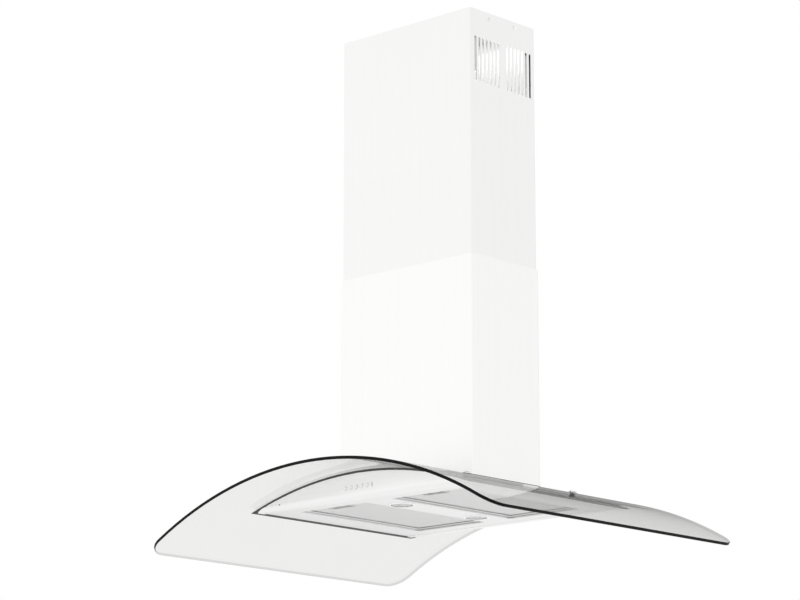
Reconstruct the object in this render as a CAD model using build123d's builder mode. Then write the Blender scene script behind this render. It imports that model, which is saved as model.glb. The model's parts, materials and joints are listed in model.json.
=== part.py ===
from build123d import *
import os
from math import asin, cos, degrees, radians, sin, sqrt

# An island range hood: a curved glass canopy on a shallow steel body, with the blower above
# it inside a two-part chimney that hangs from the ceiling. Sizes are in millimetres.
# z = 0 is the ceiling face and the hood hangs below it. X runs across the arch of the glass,
# and -Y is the side with the buttons.

os.makedirs("parts", exist_ok=True)

# --- Driving dimensions -----------------------------------------------------------------

# Curved glass
glass_width = 900.0  # across the tips
glass_depth = 720.0
glass_thickness = 6.0
glass_radius = 845.0  # top face of the arch
glass_drop = 912.0  # ceiling face down to the crown of the glass
glass_corner_radius = 40.0
glass_chamfer = 0.8
glass_cutout_gap = 4.0  # around the motor box
glass_cutout_radius = 10.0
fixing_x = 209.0  # glass screws, seen from above
fixing_y = 154.0
fixing_hole_radius = 4.5
bush_flange_radius = 8.0
bush_flange = 1.0
bush_seat_gap = 0.05  # flat bush under the curved glass
glass_screw_head_radius = 7.0
glass_screw_head_height = 2.6
glass_screw_end = 6.0  # below the deck
screw_radius = 2.5
screw_head_height = 2.6
screw_hole_gap = 0.2

# Steel body under the glass
sheet = 1.0  # folded steel of the body, the chimney and the motor box
body_depth = 460.0
body_height = 52.0  # underside of the glass at the crown to the underside of the body
gasket_thickness = 4.0
gasket_width = 12.0
gasket_play = 0.1  # under the glass
lip_radius = 10.0
lip_width = 24.0  # front face to the end of the lip's return
field_top_border = 9.0  # around the pressed field of the front and rear panels
field_bottom_border = 11.0
field_depth = 1.5
field_corner_radius = 3.0
crown_edge_radius = 0.8

# Grease filters and their latches
filter_width = 176.0
filter_end_strip = 60.0  # front and rear faces of the body to the filters
filter_thickness = 10.0
filter_border = 9.0
filter_skin = 1.0
filter_recess = 4.0  # underside of the body up to the underside of the filter
filter_side_gap = 1.5
filter_front_gap = 1.5
filter_rear_gap = 3.0
mesh_gap = 0.2
opening_flange = 14.0
lamp_strip = 66.0  # between the two filter openings
hinge_pin_diameter = 5.0
hinge_pin_setback = 7.0  # from the filter's rear edge
latch_cup_width = 60.0
latch_cup_depth = 24.0
latch_cup_height = 7.5
latch_cup_wall = 1.2
latch_tab_width = 44.0
latch_tab_thickness = 4.0
latch_tongue_width = 20.0
latch_tongue_thickness = 2.0
latch_tongue_height = 3.5  # underside of the filter up to the tongue
slide_gap = 0.3

# Lamps
lamp_y = 108.0
lamp_bezel_radius = 26.5
lamp_bezel_thickness = 2.0
lamp_can_radius = 23.0
lamp_can_height = 16.0
lamp_wall = 1.5
lamp_hole_gap = 0.5
lamp_lens_thickness = 2.5
lamp_lens_dome = 1.2

# Push buttons and indicator
button_count = 5
button_pitch = 14.0
button_radius = 4.5
button_shoulder_radius = 5.6
shoulder_thickness = 1.0
button_stem_radius = 2.5
button_proud = 1.2
button_travel = 1.0
button_gap = 0.3
button_running_gap = 0.08
control_height = 22.0  # underside of the body up to the row of buttons
control_housing_width = 98.0
control_housing_height = 17.0
control_housing_depth = 10.0
board_thickness = 1.6
switch_size = 6.0
switch_height = 2.2
indicator_width = 3.0
indicator_height = 8.0

# Chimney
sleeve_width = 350.0  # lower sleeve
sleeve_depth = 198.0
sleeve_bend_radius = 4.0
sleeve_gap = 1.5  # between the lower and the upper sleeve
sleeve_joint_drop = 498.0  # ceiling face to the top of the lower sleeve
upper_sleeve_length = 560.0
sleeve_seal_thickness = 1.5
sleeve_seal_width = 3.0
rest_gap = 0.3  # between pieces that rest on each other but can move apart
vent_count = 7  # slots in each group, two groups on each side
vent_pitch = 11.4
vent_width = 5.5
vent_height = 92.0
vent_drop = 56.0  # ceiling face to the top of the slots
vent_group_spacing = 95.2
sleeve_screw_drop = 12.0
sleeve_screw_spacing = 74.0
sleeve_screw_radius = 2.0
sleeve_screw_head_radius = 4.0
sleeve_screw_head_height = 2.0

# Ceiling bracket
bracket_thickness = 2.5
bracket_flange = 30.0
bracket_gap = 0.3
duct_hole_radius = 80.0
ceiling_slot_spacing_x = 250.0
ceiling_slot_spacing_y = 120.0
ceiling_slot_length = 20.0
ceiling_slot_width = 8.0
cable_hole_radius = 10.0
upright_screw_drop = 18.0

# Telescopic frame
angle_leg = 25.0
angle_wall = 2.0
angle_gap = 0.3  # between the nested angles
upper_angle_bottom_drop = 420.0
lower_angle_top_drop = 240.0
raise_travel = 160.0
lower_travel = 20.0
frame_bolt_radius = 3.0
frame_bolt_drop = 290.0
frame_bolt_head_radius = 6.5
frame_bolt_head_height = 1.6
frame_nut_size = 10.0  # across flats
frame_nut_height = 5.0
frame_bolt_end = 1.0  # past its nut
frame_slot_gap = 0.3
ring_height = 25.0
ring_wall = 2.0
hanger_wall = 2.0
hanger_height = 120.0
hanger_glass_gap = 12.0  # above the crown of the glass
hanger_bolt_radius = 2.5
hanger_head_radius = 4.5
hanger_head_height = 2.6

# Motor box and blower
box_side_room = 35.0  # chimney to the ends of the motor box
box_end_room = 11.0  # chimney to its front and its rear
box_bend_radius = 3.0
box_top_drop = 612.0
box_flange = 10.0
blade_depth = 15.0
impeller_half_width = 43.0
impeller_plate = 2.0
impeller_ring = 2.0
blade_count = 36
blade_thickness = 1.2
blade_lead = 4.0  # degrees that the outer edge of a blade runs ahead
blade_curve_radius = 14.0
hub_radius = 14.0
hub_length = 16.0
shaft_radius = 4.0
shaft_running_gap = 0.05
scroll_room = 22.5  # each end of the motor box to the air passage of the scroll
scroll_start_gap = 12.0
scroll_growth = 13.0  # of the radius in each quarter turn
scroll_wall = 2.0
scroll_side_gap = 7.0  # impeller to the side walls
scroll_inlet_lap = 2.0  # of the side walls over the blades
scroll_centre_drop = 806.0
scroll_neck_margin = 15.0  # rim of the impeller up to the neck
motor_radius = 42.0
motor_length = 44.0
spider_wall = 2.0
spider_arm_width = 12.0
spider_lap = 12.0  # of each arm on the scroll
spider_ring_radius = 46.0
spider_hole_radius = 30.0
collar_radius = 74.5
collar_wall = 2.0
collar_height = 45.0
collar_flange_radius = 84.0
collar_flange = 3.0
adaptor_flange_radius = 80.0
flap_seat_height = 14.0  # box top up to the hinge line of the flaps
flap_thickness = 1.2
flap_rod_radius = 1.5
flap_rod_x = 3.0
flap_edge_gap = 1.0
ledge_width = 4.0
ledge_thickness = 2.0
terminal_box_length = 96.0
terminal_box_width = 44.0
terminal_box_height = 34.0
terminal_box_wall = 2.0
terminal_box_gap = 6.0  # from the collar's flange
terminal_lid_thickness = 2.0
gland_radius = 9.0
gland_bore_radius = 4.0
gland_length = 16.0
capacitor_radius = 15.0
capacitor_length = 60.0

# --- Values worked out from them ----------------------------------------------------------

arch_z = -glass_drop - glass_radius  # centre of the arch
glass_under = glass_radius - glass_thickness
gasket_r = glass_under - gasket_play
flange_r = glass_under - gasket_thickness  # top face of the deck and the panels' flanges
deck_under_r = flange_r - sheet
underside_z = arch_z + glass_under - body_height
pan_top_z = underside_z + 2 * sheet
body_half = body_depth / 2
filter_length = body_depth - 2 * filter_end_strip
box_width = sleeve_width - 2 * box_side_room
box_depth = sleeve_depth - 2 * box_end_room
scroll_width = box_width - 2 * (sheet + scroll_room)  # air passage, from side to side
impeller_radius = (scroll_width - 3 * scroll_growth) / 2 - scroll_start_gap
impeller_inner_radius = impeller_radius - blade_depth
scroll_inlet_radius = impeller_inner_radius - scroll_inlet_lap
scroll_centre_x = -scroll_growth
scroll_neck_rise = impeller_radius + scroll_neck_margin
spider_reach = scroll_inlet_radius + spider_lap
spider_screw_circle = (scroll_inlet_radius + spider_reach) / 2
terminal_box_x = collar_flange_radius + terminal_box_gap + terminal_box_width / 2


def arch_x(radius, height):
    """Half the width of the arch of that radius at that height."""
    return sqrt(radius**2 - (height - arch_z) ** 2)


def arch_height(radius, across):
    """Height of the arch of that radius at that distance from the middle."""
    return arch_z + sqrt(radius**2 - across**2)


def arch_ring(outer, inner, base_z, face_y):
    """Band between two arch radii above a level, on the upright plane at Y = face_y."""
    with BuildSketch(Plane.XZ.offset(-face_y)) as ring:
        with Locations((0, arch_z)):
            Circle(outer)
            Circle(inner, mode=Mode.SUBTRACT)
        with Locations((0, base_z)):
            Rectangle(2 * outer, outer, align=(Align.CENTER, Align.MIN), mode=Mode.INTERSECT)
    return ring.sketch


def arch_disc(radius, face_y):
    """Full disc of an arch radius, on the upright plane at Y = face_y."""
    with BuildSketch(Plane.XZ.offset(-face_y)) as disc:
        with Locations((0, arch_z)):
            Circle(radius)
    return disc.sketch


def fixing_planes(radius):
    """Planes square to the arch at the four glass fixings, on the arch of that radius."""
    lean = asin(fixing_x / glass_radius)
    return [
        Plane(
            origin=(side * radius * sin(lean), end * fixing_y, arch_z + radius * cos(lean)),
            x_dir=(0, 1, 0),
            z_dir=(side * sin(lean), 0, cos(lean)),
        )
        for side in (-1, 1)
        for end in (-1, 1)
    ]


def save(part, name):
    """Labels a finished piece and writes it."""
    part.label = name
    export_step(part, f"parts/{name}.step")


# --- Curved glass and its fixings -------------------------------------------------------------

glass_half_angle = degrees(asin(glass_width / 2 / glass_radius))
cutout_width = box_width + 2 * glass_cutout_gap
cutout_depth = box_depth + 2 * glass_cutout_gap
grip = (Align.CENTER, Align.CENTER, Align.MAX)  # from a face into the material
stand = (Align.CENTER, Align.CENTER, Align.MIN)  # up from a face

with BuildPart() as glass_canopy:
    with BuildSketch(Plane.XZ):
        with BuildLine():
            top = CenterArc((0, arch_z), glass_radius, 90 - glass_half_angle, 2 * glass_half_angle)
            under = CenterArc((0, arch_z), glass_under, 90 - glass_half_angle, 2 * glass_half_angle)
            Line(top @ 0, under @ 0)
            Line(top @ 1, under @ 1)
        make_face()
    extrude(amount=glass_depth / 2, both=True)
    corners = glass_canopy.edges().group_by(SortBy.LENGTH)[0]
    fillet(corners, radius=glass_corner_radius)
    rims = glass_canopy.edges().filter_by(lambda e: e.length > 2 * glass_thickness)
    chamfer(rims, length=glass_chamfer)
    with BuildSketch(Plane.XY.offset(-glass_drop)):
        RectangleRounded(cutout_width, cutout_depth, glass_cutout_radius)
    cutout_low_z = arch_height(glass_under, cutout_width / 2) - glass_thickness
    extrude(amount=cutout_low_z + glass_drop, mode=Mode.SUBTRACT)
    with Locations(*fixing_planes(glass_radius)):
        Hole(fixing_hole_radius, depth=2 * glass_thickness)
save(glass_canopy.part, "glass_canopy")

# Rubber bushes line the holes and stand the glass off the deck.
with BuildPart() as glass_bushes:
    with Locations(*fixing_planes(glass_radius)):
        Cylinder(bush_flange_radius, bush_flange, align=stand)
        Cylinder(fixing_hole_radius, glass_thickness + gasket_thickness, align=grip)
    with Locations(*fixing_planes(flange_r)):
        Cylinder(bush_flange_radius, gasket_thickness - bush_seat_gap, align=stand)
    with Locations(*fixing_planes(glass_radius + bush_flange)):
        Hole(screw_radius, depth=2 * (glass_thickness + gasket_thickness))
save(glass_bushes.part, "glass_bushes")

with BuildPart() as glass_screw:
    Cylinder(glass_screw_head_radius, glass_screw_head_height, align=stand)
    chamfer(glass_screw.edges().group_by(Axis.Z)[-1], length=glass_screw_head_height / 2)
    shank_length = bush_flange + glass_thickness + gasket_thickness + sheet + glass_screw_end
    Cylinder(screw_radius, shank_length, align=grip)
with BuildPart() as glass_screws:
    with Locations(*fixing_planes(glass_radius + bush_flange)):
        add(glass_screw.part)
save(glass_screws.part, "glass_screws")

# --- Gaskets between the glass and the body -----------------------------------------------------

with BuildPart() as panel_gaskets:
    for face_y in (gasket_width - body_half, body_half):
        extrude(arch_ring(gasket_r, flange_r, underside_z, face_y), amount=gasket_width)
save(panel_gaskets.part, "panel_gaskets")

side_gasket_inner_x = arch_x(flange_r, underside_z) - gasket_width
with BuildPart() as side_gaskets:
    extrude(
        arch_ring(gasket_r, flange_r, underside_z, body_half - gasket_width),
        amount=body_depth - 2 * gasket_width,
    )
    with BuildSketch(Plane.XY.offset(underside_z)):
        Rectangle(2 * side_gasket_inner_x, body_depth)
    extrude(amount=2 * body_height, mode=Mode.SUBTRACT)
save(side_gaskets.part, "side_gaskets")

with BuildPart() as cutout_gasket:
    extrude(
        arch_ring(gasket_r, flange_r, underside_z, cutout_depth / 2 + 2 * gasket_width),
        amount=cutout_depth + 4 * gasket_width,
    )
    with BuildSketch(Plane.XY.offset(underside_z)):
        RectangleRounded(
            cutout_width + 2 * gasket_width, cutout_depth + 2 * gasket_width, glass_cutout_radius
        )
        RectangleRounded(cutout_width, cutout_depth, glass_cutout_radius, mode=Mode.SUBTRACT)
    extrude(amount=2 * body_height, mode=Mode.INTERSECT)
save(cutout_gasket.part, "cutout_gasket")

# --- Front and rear panels ------------------------------------------------------------------------

control_z = underside_z + control_height
button_row_width = button_pitch * button_count
indicator_x = button_row_width / 2
first_button_x = indicator_x - button_row_width
field_floor_y = field_depth - body_half
button_places = [
    (first_button_x + button_pitch * index, control_z) for index in range(button_count)
]


def field_outline(face_y, grow):
    """Outline of the pressed field of a panel, grown outwards, at Y = face_y."""
    with BuildSketch(Plane.XZ.offset(-face_y)) as outline:
        with Locations((0, arch_z)):
            Circle(flange_r - field_top_border + grow)
        with Locations((0, underside_z + field_bottom_border - grow)):
            Rectangle(
                2 * flange_r, body_height, align=(Align.CENTER, Align.MIN), mode=Mode.INTERSECT
            )
        fillet(outline.vertices(), radius=field_corner_radius + grow)
    return outline.sketch


def panel():
    """Pressed front panel: a web with a rounded lip below, a flange above and a sunk field."""
    half_width = arch_x(flange_r, underside_z)
    with BuildPart() as pressing:
        with BuildSketch(Plane.YZ):
            with BuildLine():
                outside = FilletPolyline(
                    (-body_half, underside_z + 2 * body_height),
                    (-body_half, underside_z),
                    (lip_width - body_half, underside_z),
                    radius=lip_radius,
                )
                inside = FilletPolyline(
                    (sheet - body_half, underside_z + 2 * body_height),
                    (sheet - body_half, underside_z + sheet),
                    (lip_width - body_half, underside_z + sheet),
                    radius=lip_radius - sheet,
                )
                Line(outside @ 0, inside @ 0)
                Line(outside @ 1, inside @ 1)
            make_face()
        extrude(amount=half_width, both=True)
        extrude(
            arch_ring(glass_under, deck_under_r, control_z, gasket_width - body_half),
            amount=gasket_width,
        )
        with BuildSketch(Plane.YZ) as drum:
            with Locations((0, arch_z)):
                Rectangle(body_depth, flange_r, align=(Align.CENTER, Align.MIN))
            front_corner = drum.vertices().group_by(Axis.X)[0].sort_by(Axis.Y)[-1]
            fillet(front_corner, radius=crown_edge_radius)
        revolve(axis=Axis((0, 0, arch_z), (0, 1, 0)), mode=Mode.INTERSECT)
        extrude(field_outline(field_floor_y + sheet, sheet), amount=field_depth)
        extrude(field_outline(field_floor_y, 0), amount=2 * field_depth, mode=Mode.SUBTRACT)
    return pressing.part


with BuildPart() as front_fascia:
    add(panel())
    with BuildSketch(Plane.XZ.offset(body_half)):
        with Locations(*button_places):
            Circle(button_radius + button_gap)
        with Locations((indicator_x, control_z)):
            Rectangle(indicator_width + button_gap, indicator_height + button_gap)
    extrude(amount=-2 * (field_depth + sheet), mode=Mode.SUBTRACT)
save(front_fascia.part, "front_fascia")
save(mirror(panel(), about=Plane.XZ), "rear_fascia")

# --- Deck under the glass and pan around the filters ------------------------------------------------

deck_half = body_half - gasket_width
with BuildPart() as top_deck:
    extrude(arch_ring(flange_r, deck_under_r, pan_top_z, deck_half), amount=2 * deck_half)
    with BuildSketch(Plane.XY.offset(underside_z)):
        RectangleRounded(
            box_width + 2 * bracket_gap, box_depth + 2 * bracket_gap, box_bend_radius
        )
    extrude(amount=2 * body_height, mode=Mode.SUBTRACT)
    with Locations(*fixing_planes(flange_r)):
        Hole(screw_radius + screw_hole_gap, depth=3 * sheet)
save(top_deck.part, "top_deck")

opening_width = filter_width + 2 * filter_side_gap
opening_length = filter_length + filter_front_gap + filter_rear_gap
opening_x = (lamp_strip + opening_width) / 2
filter_front_y = filter_front_gap - opening_length / 2
filter_rear_y = filter_front_y + filter_length
filter_z = underside_z + filter_recess
hinge_y = filter_rear_y - hinge_pin_setback
hinge_z = filter_z + filter_thickness / 2
pan_z = underside_z + sheet

with BuildPart() as canopy_pan:
    with BuildSketch(Plane.XY.offset(pan_z)):
        Rectangle(2 * arch_x(flange_r, underside_z), body_depth - 2 * lip_radius)
    extrude(amount=sheet)
    with BuildSketch(Plane.XY.offset(pan_z)):
        with Locations((-opening_x, 0), (opening_x, 0)):
            Rectangle(opening_width + 2 * sheet, opening_length + 2 * sheet)
    extrude(amount=opening_flange)
    with BuildSketch(Plane.XY.offset(pan_z)):
        with Locations((-opening_x, 0), (opening_x, 0)):
            Rectangle(opening_width, opening_length)
        with Locations((0, -lamp_y), (0, lamp_y)):
            Circle(lamp_can_radius + lamp_hole_gap)
    extrude(amount=opening_flange, mode=Mode.SUBTRACT)
    with BuildSketch(Plane.YZ):
        with Locations((hinge_y, hinge_z)):
            Circle(hinge_pin_diameter / 2 + shaft_running_gap)
    extrude(amount=opening_x + opening_width, both=True, mode=Mode.SUBTRACT)
    extrude(arch_disc(flange_r, body_half), amount=body_depth, mode=Mode.INTERSECT)
save(canopy_pan.part, "canopy_pan")

# --- Grease filters with their latches ------------------------------------------------------------

cup_front_y = filter_front_y + filter_border
cup_middle_y = cup_front_y + latch_cup_depth / 2
tab_front_y = cup_front_y + latch_cup_wall + slide_gap
tongue_tip_y = filter_front_y - filter_front_gap + slide_gap
tongue_z = filter_z + latch_tongue_height
tongue_slot = latch_tongue_width + 2 * slide_gap


def build_filter(side, centre_x):
    """One filter cassette: frame with hinge pins, mesh pad, latch cup and sliding latch."""
    centre_y = (filter_front_y + filter_rear_y) / 2
    with BuildPart() as frame:
        with BuildSketch(Plane.XY.offset(filter_z)):
            with Locations((centre_x, centre_y)):
                Rectangle(filter_width, filter_length)
        extrude(amount=filter_thickness)
        fillet(frame.edges().filter_by(Axis.Z), radius=filter_skin)
        with BuildSketch(Plane.XY.offset(filter_z + filter_skin)):
            with Locations((centre_x, centre_y)):
                Rectangle(filter_width - 2 * filter_skin, filter_length - 2 * filter_skin)
        extrude(amount=filter_thickness - 2 * filter_skin, mode=Mode.SUBTRACT)
        with BuildSketch(Plane.XY.offset(filter_z)):
            with Locations((centre_x, centre_y)):
                Rectangle(filter_width - 2 * filter_border, filter_length - 2 * filter_border)
        extrude(amount=filter_thickness, mode=Mode.SUBTRACT)
        pin_reach = filter_side_gap + 2 * sheet
        for hand in (-1, 1):
            start_x = centre_x + hand * filter_width / 2
            with BuildSketch(Plane(origin=(start_x, 0, 0), x_dir=(0, 1, 0), z_dir=(1, 0, 0))):
                with Locations((hinge_y, hinge_z)):
                    Circle(hinge_pin_diameter / 2)
            extrude(amount=hand * pin_reach)
        with BuildSketch(Plane.XZ.offset(-filter_front_y)):
            with Locations((centre_x, tongue_z + latch_tongue_thickness / 2)):
                Rectangle(tongue_slot, latch_tongue_thickness + 2 * slide_gap)
        extrude(amount=-2 * filter_skin, mode=Mode.SUBTRACT)
    save(frame.part, f"{side}_filter_frame")

    with BuildPart() as mesh:
        with BuildSketch(Plane.XY.offset(filter_z + filter_skin + mesh_gap)):
            with Locations((centre_x, centre_y)):
                Rectangle(
                    filter_width - 2 * filter_skin - 2 * mesh_gap,
                    filter_length - 2 * filter_skin - 2 * mesh_gap,
                )
            with Locations((centre_x, filter_front_y)):
                Rectangle(
                    latch_cup_width,
                    filter_border + latch_cup_depth,
                    align=(Align.CENTER, Align.MIN),
                    mode=Mode.SUBTRACT,
                )
        extrude(amount=filter_thickness - 2 * filter_skin - 2 * mesh_gap)
    save(mesh.part, f"{side}_filter_mesh")

    with BuildPart() as cup:
        with BuildSketch(Plane.XY.offset(filter_z)):
            with Locations((centre_x, cup_middle_y)):
                Rectangle(latch_cup_width, latch_cup_depth)
        extrude(amount=latch_cup_height)
        with BuildSketch(Plane.XY.offset(filter_z)):
            with Locations((centre_x, cup_middle_y)):
                RectangleRounded(
                    latch_cup_width - 2 * latch_cup_wall,
                    latch_cup_depth - 2 * latch_cup_wall,
                    2 * latch_cup_wall,
                )
        extrude(amount=latch_cup_height - latch_cup_wall, mode=Mode.SUBTRACT)
        with BuildSketch(Plane.XZ.offset(-cup_front_y)):
            with Locations((centre_x, tongue_z + latch_tongue_thickness / 2)):
                Rectangle(tongue_slot, latch_tongue_thickness + 2 * slide_gap)
        extrude(amount=-2 * latch_cup_wall, mode=Mode.SUBTRACT)
    save(cup.part, f"{side}_latch_cup")

    with BuildPart() as latch:
        tab_low_z = filter_z + filter_skin
        with BuildSketch(Plane.XY.offset(tab_low_z)):
            with Locations((centre_x, tab_front_y)):
                Rectangle(latch_tab_width, latch_tab_thickness, align=(Align.CENTER, Align.MIN))
        extrude(amount=tongue_z + latch_tongue_thickness - tab_low_z)
        fillet(latch.edges().filter_by(Axis.Z), radius=latch_tab_thickness / 3)
        with BuildSketch(Plane.XY.offset(tongue_z)):
            with Locations((centre_x, tongue_tip_y)):
                Rectangle(
                    latch_tongue_width,
                    tab_front_y + latch_tab_thickness / 2 - tongue_tip_y,
                    align=(Align.CENTER, Align.MIN),
                )
        extrude(amount=latch_tongue_thickness)
    save(latch.part, f"{side}_latch")


build_filter("left", -opening_x)
build_filter("right", opening_x)

# --- Lamps ----------------------------------------------------------------------------------------

for end, centre_y in (("front", -lamp_y), ("rear", lamp_y)):
    with BuildPart() as lamp:
        with BuildSketch(Plane.XY.offset(pan_z)):
            with Locations((0, centre_y)):
                Circle(lamp_bezel_radius)
        extrude(amount=-lamp_bezel_thickness)
        chamfer(lamp.edges().group_by(Axis.Z)[0], length=lamp_bezel_thickness / 2)
        with BuildSketch(Plane.XY.offset(pan_z)):
            with Locations((0, centre_y)):
                Circle(lamp_can_radius)
        extrude(amount=lamp_can_height)
        with BuildSketch(Plane.XY.offset(pan_z - lamp_bezel_thickness)):
            with Locations((0, centre_y)):
                Circle(lamp_can_radius - lamp_wall)
        extrude(
            amount=lamp_bezel_thickness + lamp_can_height - lamp_wall, mode=Mode.SUBTRACT
        )
    save(lamp.part, f"{end}_lamp_housing")

    with BuildPart() as lens:
        with BuildSketch(Plane.XY.offset(pan_z - lamp_bezel_thickness / 2)):
            with Locations((0, centre_y)):
                Circle(lamp_can_radius - lamp_wall)
        extrude(amount=lamp_lens_thickness)
        chamfer(lens.edges().group_by(Axis.Z)[0], length=lamp_lens_dome)
    save(lens.part, f"{end}_lamp_lens")

# --- Push buttons, their housing and board -----------------------------------------------------------

housing_y = field_floor_y + sheet
board_y = housing_y + control_housing_depth
shoulder_y = housing_y + button_gap
stem_end_y = board_y - switch_height - button_travel - button_gap
cavity_depth = button_gap + shoulder_thickness + button_travel + button_gap

with BuildPart() as control_housing:
    with BuildSketch(Plane.XZ.offset(-housing_y)):
        with Locations((0, control_z)):
            RectangleRounded(control_housing_width, control_housing_height, field_corner_radius)
    extrude(amount=-control_housing_depth)
    with BuildSketch(Plane.XZ.offset(-housing_y)):
        with Locations(*button_places):
            Circle(button_shoulder_radius + button_gap)
    extrude(amount=-cavity_depth, mode=Mode.SUBTRACT)
    with BuildSketch(Plane.XZ.offset(-housing_y)):
        with Locations(*button_places):
            Circle(button_stem_radius + button_running_gap)
        with Locations((indicator_x, control_z)):
            Rectangle(indicator_width, indicator_height)
    extrude(amount=-control_housing_depth, mode=Mode.SUBTRACT)
    with BuildSketch(Plane.XZ.offset(-board_y)):
        with Locations(*button_places):
            Rectangle(switch_size + button_gap, switch_size + button_gap)
    extrude(amount=switch_height + button_gap, mode=Mode.SUBTRACT)
save(control_housing.part, "control_housing")

with BuildPart() as control_board:
    with BuildSketch(Plane.XZ.offset(-board_y)):
        with Locations((0, control_z)):
            Rectangle(control_housing_width, control_housing_height)
    extrude(amount=-board_thickness)
    with BuildSketch(Plane.XZ.offset(-board_y)):
        with Locations(*button_places):
            Rectangle(switch_size, switch_size)
    extrude(amount=switch_height)
save(control_board.part, "control_board")

for index, place in enumerate(button_places, start=1):
    with BuildPart() as button:
        with BuildSketch(Plane.XZ.offset(-shoulder_y)):
            with Locations(place):
                Circle(button_radius)
        extrude(amount=shoulder_y - field_floor_y + button_proud)
        chamfer(button.edges().group_by(Axis.Y)[0], length=button_proud / 3)
        with BuildSketch(Plane.XZ.offset(-shoulder_y)):
            with Locations(place):
                Circle(button_shoulder_radius)
        extrude(amount=-shoulder_thickness)
        with BuildSketch(Plane.XZ.offset(-shoulder_y)):
            with Locations(place):
                Circle(button_stem_radius)
        extrude(amount=shoulder_y - stem_end_y)
    save(button.part, f"button_{index}")

with BuildPart() as indicator_lens:
    with BuildSketch(Plane.XZ.offset(-board_y)):
        with Locations((indicator_x, control_z)):
            Rectangle(indicator_width, indicator_height)
    extrude(amount=board_y - field_floor_y + button_gap)
save(indicator_lens.part, "indicator_lens")

# --- Chimney sleeves -----------------------------------------------------------------------------------

upper_width = sleeve_width - 2 * (sheet + sleeve_gap)
upper_depth = sleeve_depth - 2 * (sheet + sleeve_gap)
upper_inner_width = upper_width - 2 * sheet
upper_inner_depth = upper_depth - 2 * sheet
sleeve_foot_r = glass_radius + rest_gap + sleeve_seal_thickness
sleeve_low_z = arch_height(glass_radius, sleeve_width / 2)


def tube(width, depth, bend_radius, wall, top_z):
    """Section of a folded rectangular tube at a level."""
    with BuildSketch(Plane.XY.offset(top_z)) as section:
        RectangleRounded(width, depth, bend_radius)
        RectangleRounded(
            width - 2 * wall, depth - 2 * wall, bend_radius - wall, mode=Mode.SUBTRACT
        )
    return section.sketch


# The foot of the lower sleeve is cut to the arch of the glass.
with BuildPart() as lower_sleeve:
    extrude(
        tube(sleeve_width, sleeve_depth, sleeve_bend_radius, sheet, -sleeve_joint_drop),
        amount=-sleeve_joint_drop - sleeve_low_z,
        dir=(0, 0, -1),
    )
    extrude(arch_disc(sleeve_foot_r, sleeve_depth), amount=2 * sleeve_depth, mode=Mode.SUBTRACT)
save(lower_sleeve.part, "lower_sleeve")

with BuildPart() as sleeve_seal:
    extrude(
        tube(sleeve_width, sleeve_depth, sleeve_bend_radius, sleeve_seal_width, sleeve_low_z),
        amount=-glass_drop - sleeve_low_z + body_height,
    )
    extrude(arch_disc(sleeve_foot_r, sleeve_depth), amount=2 * sleeve_depth, mode=Mode.INTERSECT)
    extrude(
        arch_disc(glass_radius + rest_gap, sleeve_depth),
        amount=2 * sleeve_depth,
        mode=Mode.SUBTRACT,
    )
save(sleeve_seal.part, "sleeve_seal")

sleeve_screw_places = [
    (-sleeve_screw_spacing / 2, -sleeve_screw_drop),
    (sleeve_screw_spacing / 2, -sleeve_screw_drop),
]
with BuildPart() as upper_sleeve:
    extrude(
        tube(upper_width, upper_depth, sleeve_bend_radius - sheet / 2, sheet, -rest_gap),
        amount=-(upper_sleeve_length - rest_gap),
    )
    with BuildSketch(Plane.YZ):
        with Locations((0, -vent_drop - vent_height / 2)):
            with GridLocations(vent_group_spacing, 0, 2, 1):
                with GridLocations(vent_pitch, 0, vent_count, 1):
                    SlotOverall(vent_height, vent_width, rotation=90)
        with Locations(*sleeve_screw_places):
            Circle(sleeve_screw_radius)
    extrude(amount=upper_width, both=True, mode=Mode.SUBTRACT)
save(upper_sleeve.part, "upper_sleeve")

# --- Ceiling bracket ---------------------------------------------------------------------------------------

bracket_half_x = upper_inner_width / 2 - bracket_gap
bracket_half_y = upper_inner_depth / 2 - bracket_gap
angle_x = bracket_half_x - bracket_thickness  # outer corner of the upper angles
angle_y = bracket_half_y - ring_wall - bracket_gap
upright_screw_y = angle_y - angle_leg / 2

with BuildPart() as ceiling_bracket:
    with BuildSketch():
        RectangleRounded(2 * bracket_half_x, 2 * bracket_half_y, sleeve_bend_radius / 2)
        Circle(duct_hole_radius, mode=Mode.SUBTRACT)
        with GridLocations(ceiling_slot_spacing_x, ceiling_slot_spacing_y, 2, 2):
            SlotOverall(ceiling_slot_length, ceiling_slot_width, mode=Mode.SUBTRACT)
        with Locations((terminal_box_x, 0)):
            Circle(cable_hole_radius, mode=Mode.SUBTRACT)
    extrude(amount=-bracket_thickness)
    with BuildSketch():
        with Locations((-bracket_half_x, 0)):
            Rectangle(
                bracket_thickness, 2 * angle_y, align=(Align.MIN, Align.CENTER)
            )
        with Locations((bracket_half_x, 0)):
            Rectangle(
                bracket_thickness, 2 * angle_y, align=(Align.MAX, Align.CENTER)
            )
    extrude(amount=-bracket_flange)
    with BuildSketch(Plane.YZ):
        with Locations(*sleeve_screw_places):
            Circle(sleeve_screw_radius)
        with Locations(
            (-upright_screw_y, -upright_screw_drop), (upright_screw_y, -upright_screw_drop)
        ):
            Circle(screw_radius)
    extrude(amount=upper_width, both=True, mode=Mode.SUBTRACT)
save(ceiling_bracket.part, "ceiling_bracket")


def side_planes(distance, across, level):
    """Planes facing outwards at both ends of the width, one for each place across the depth."""
    return [
        Plane(origin=(side * distance, y, level), x_dir=(0, 1, 0), z_dir=(side, 0, 0))
        for side in (-1, 1)
        for y in across
    ]


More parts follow.
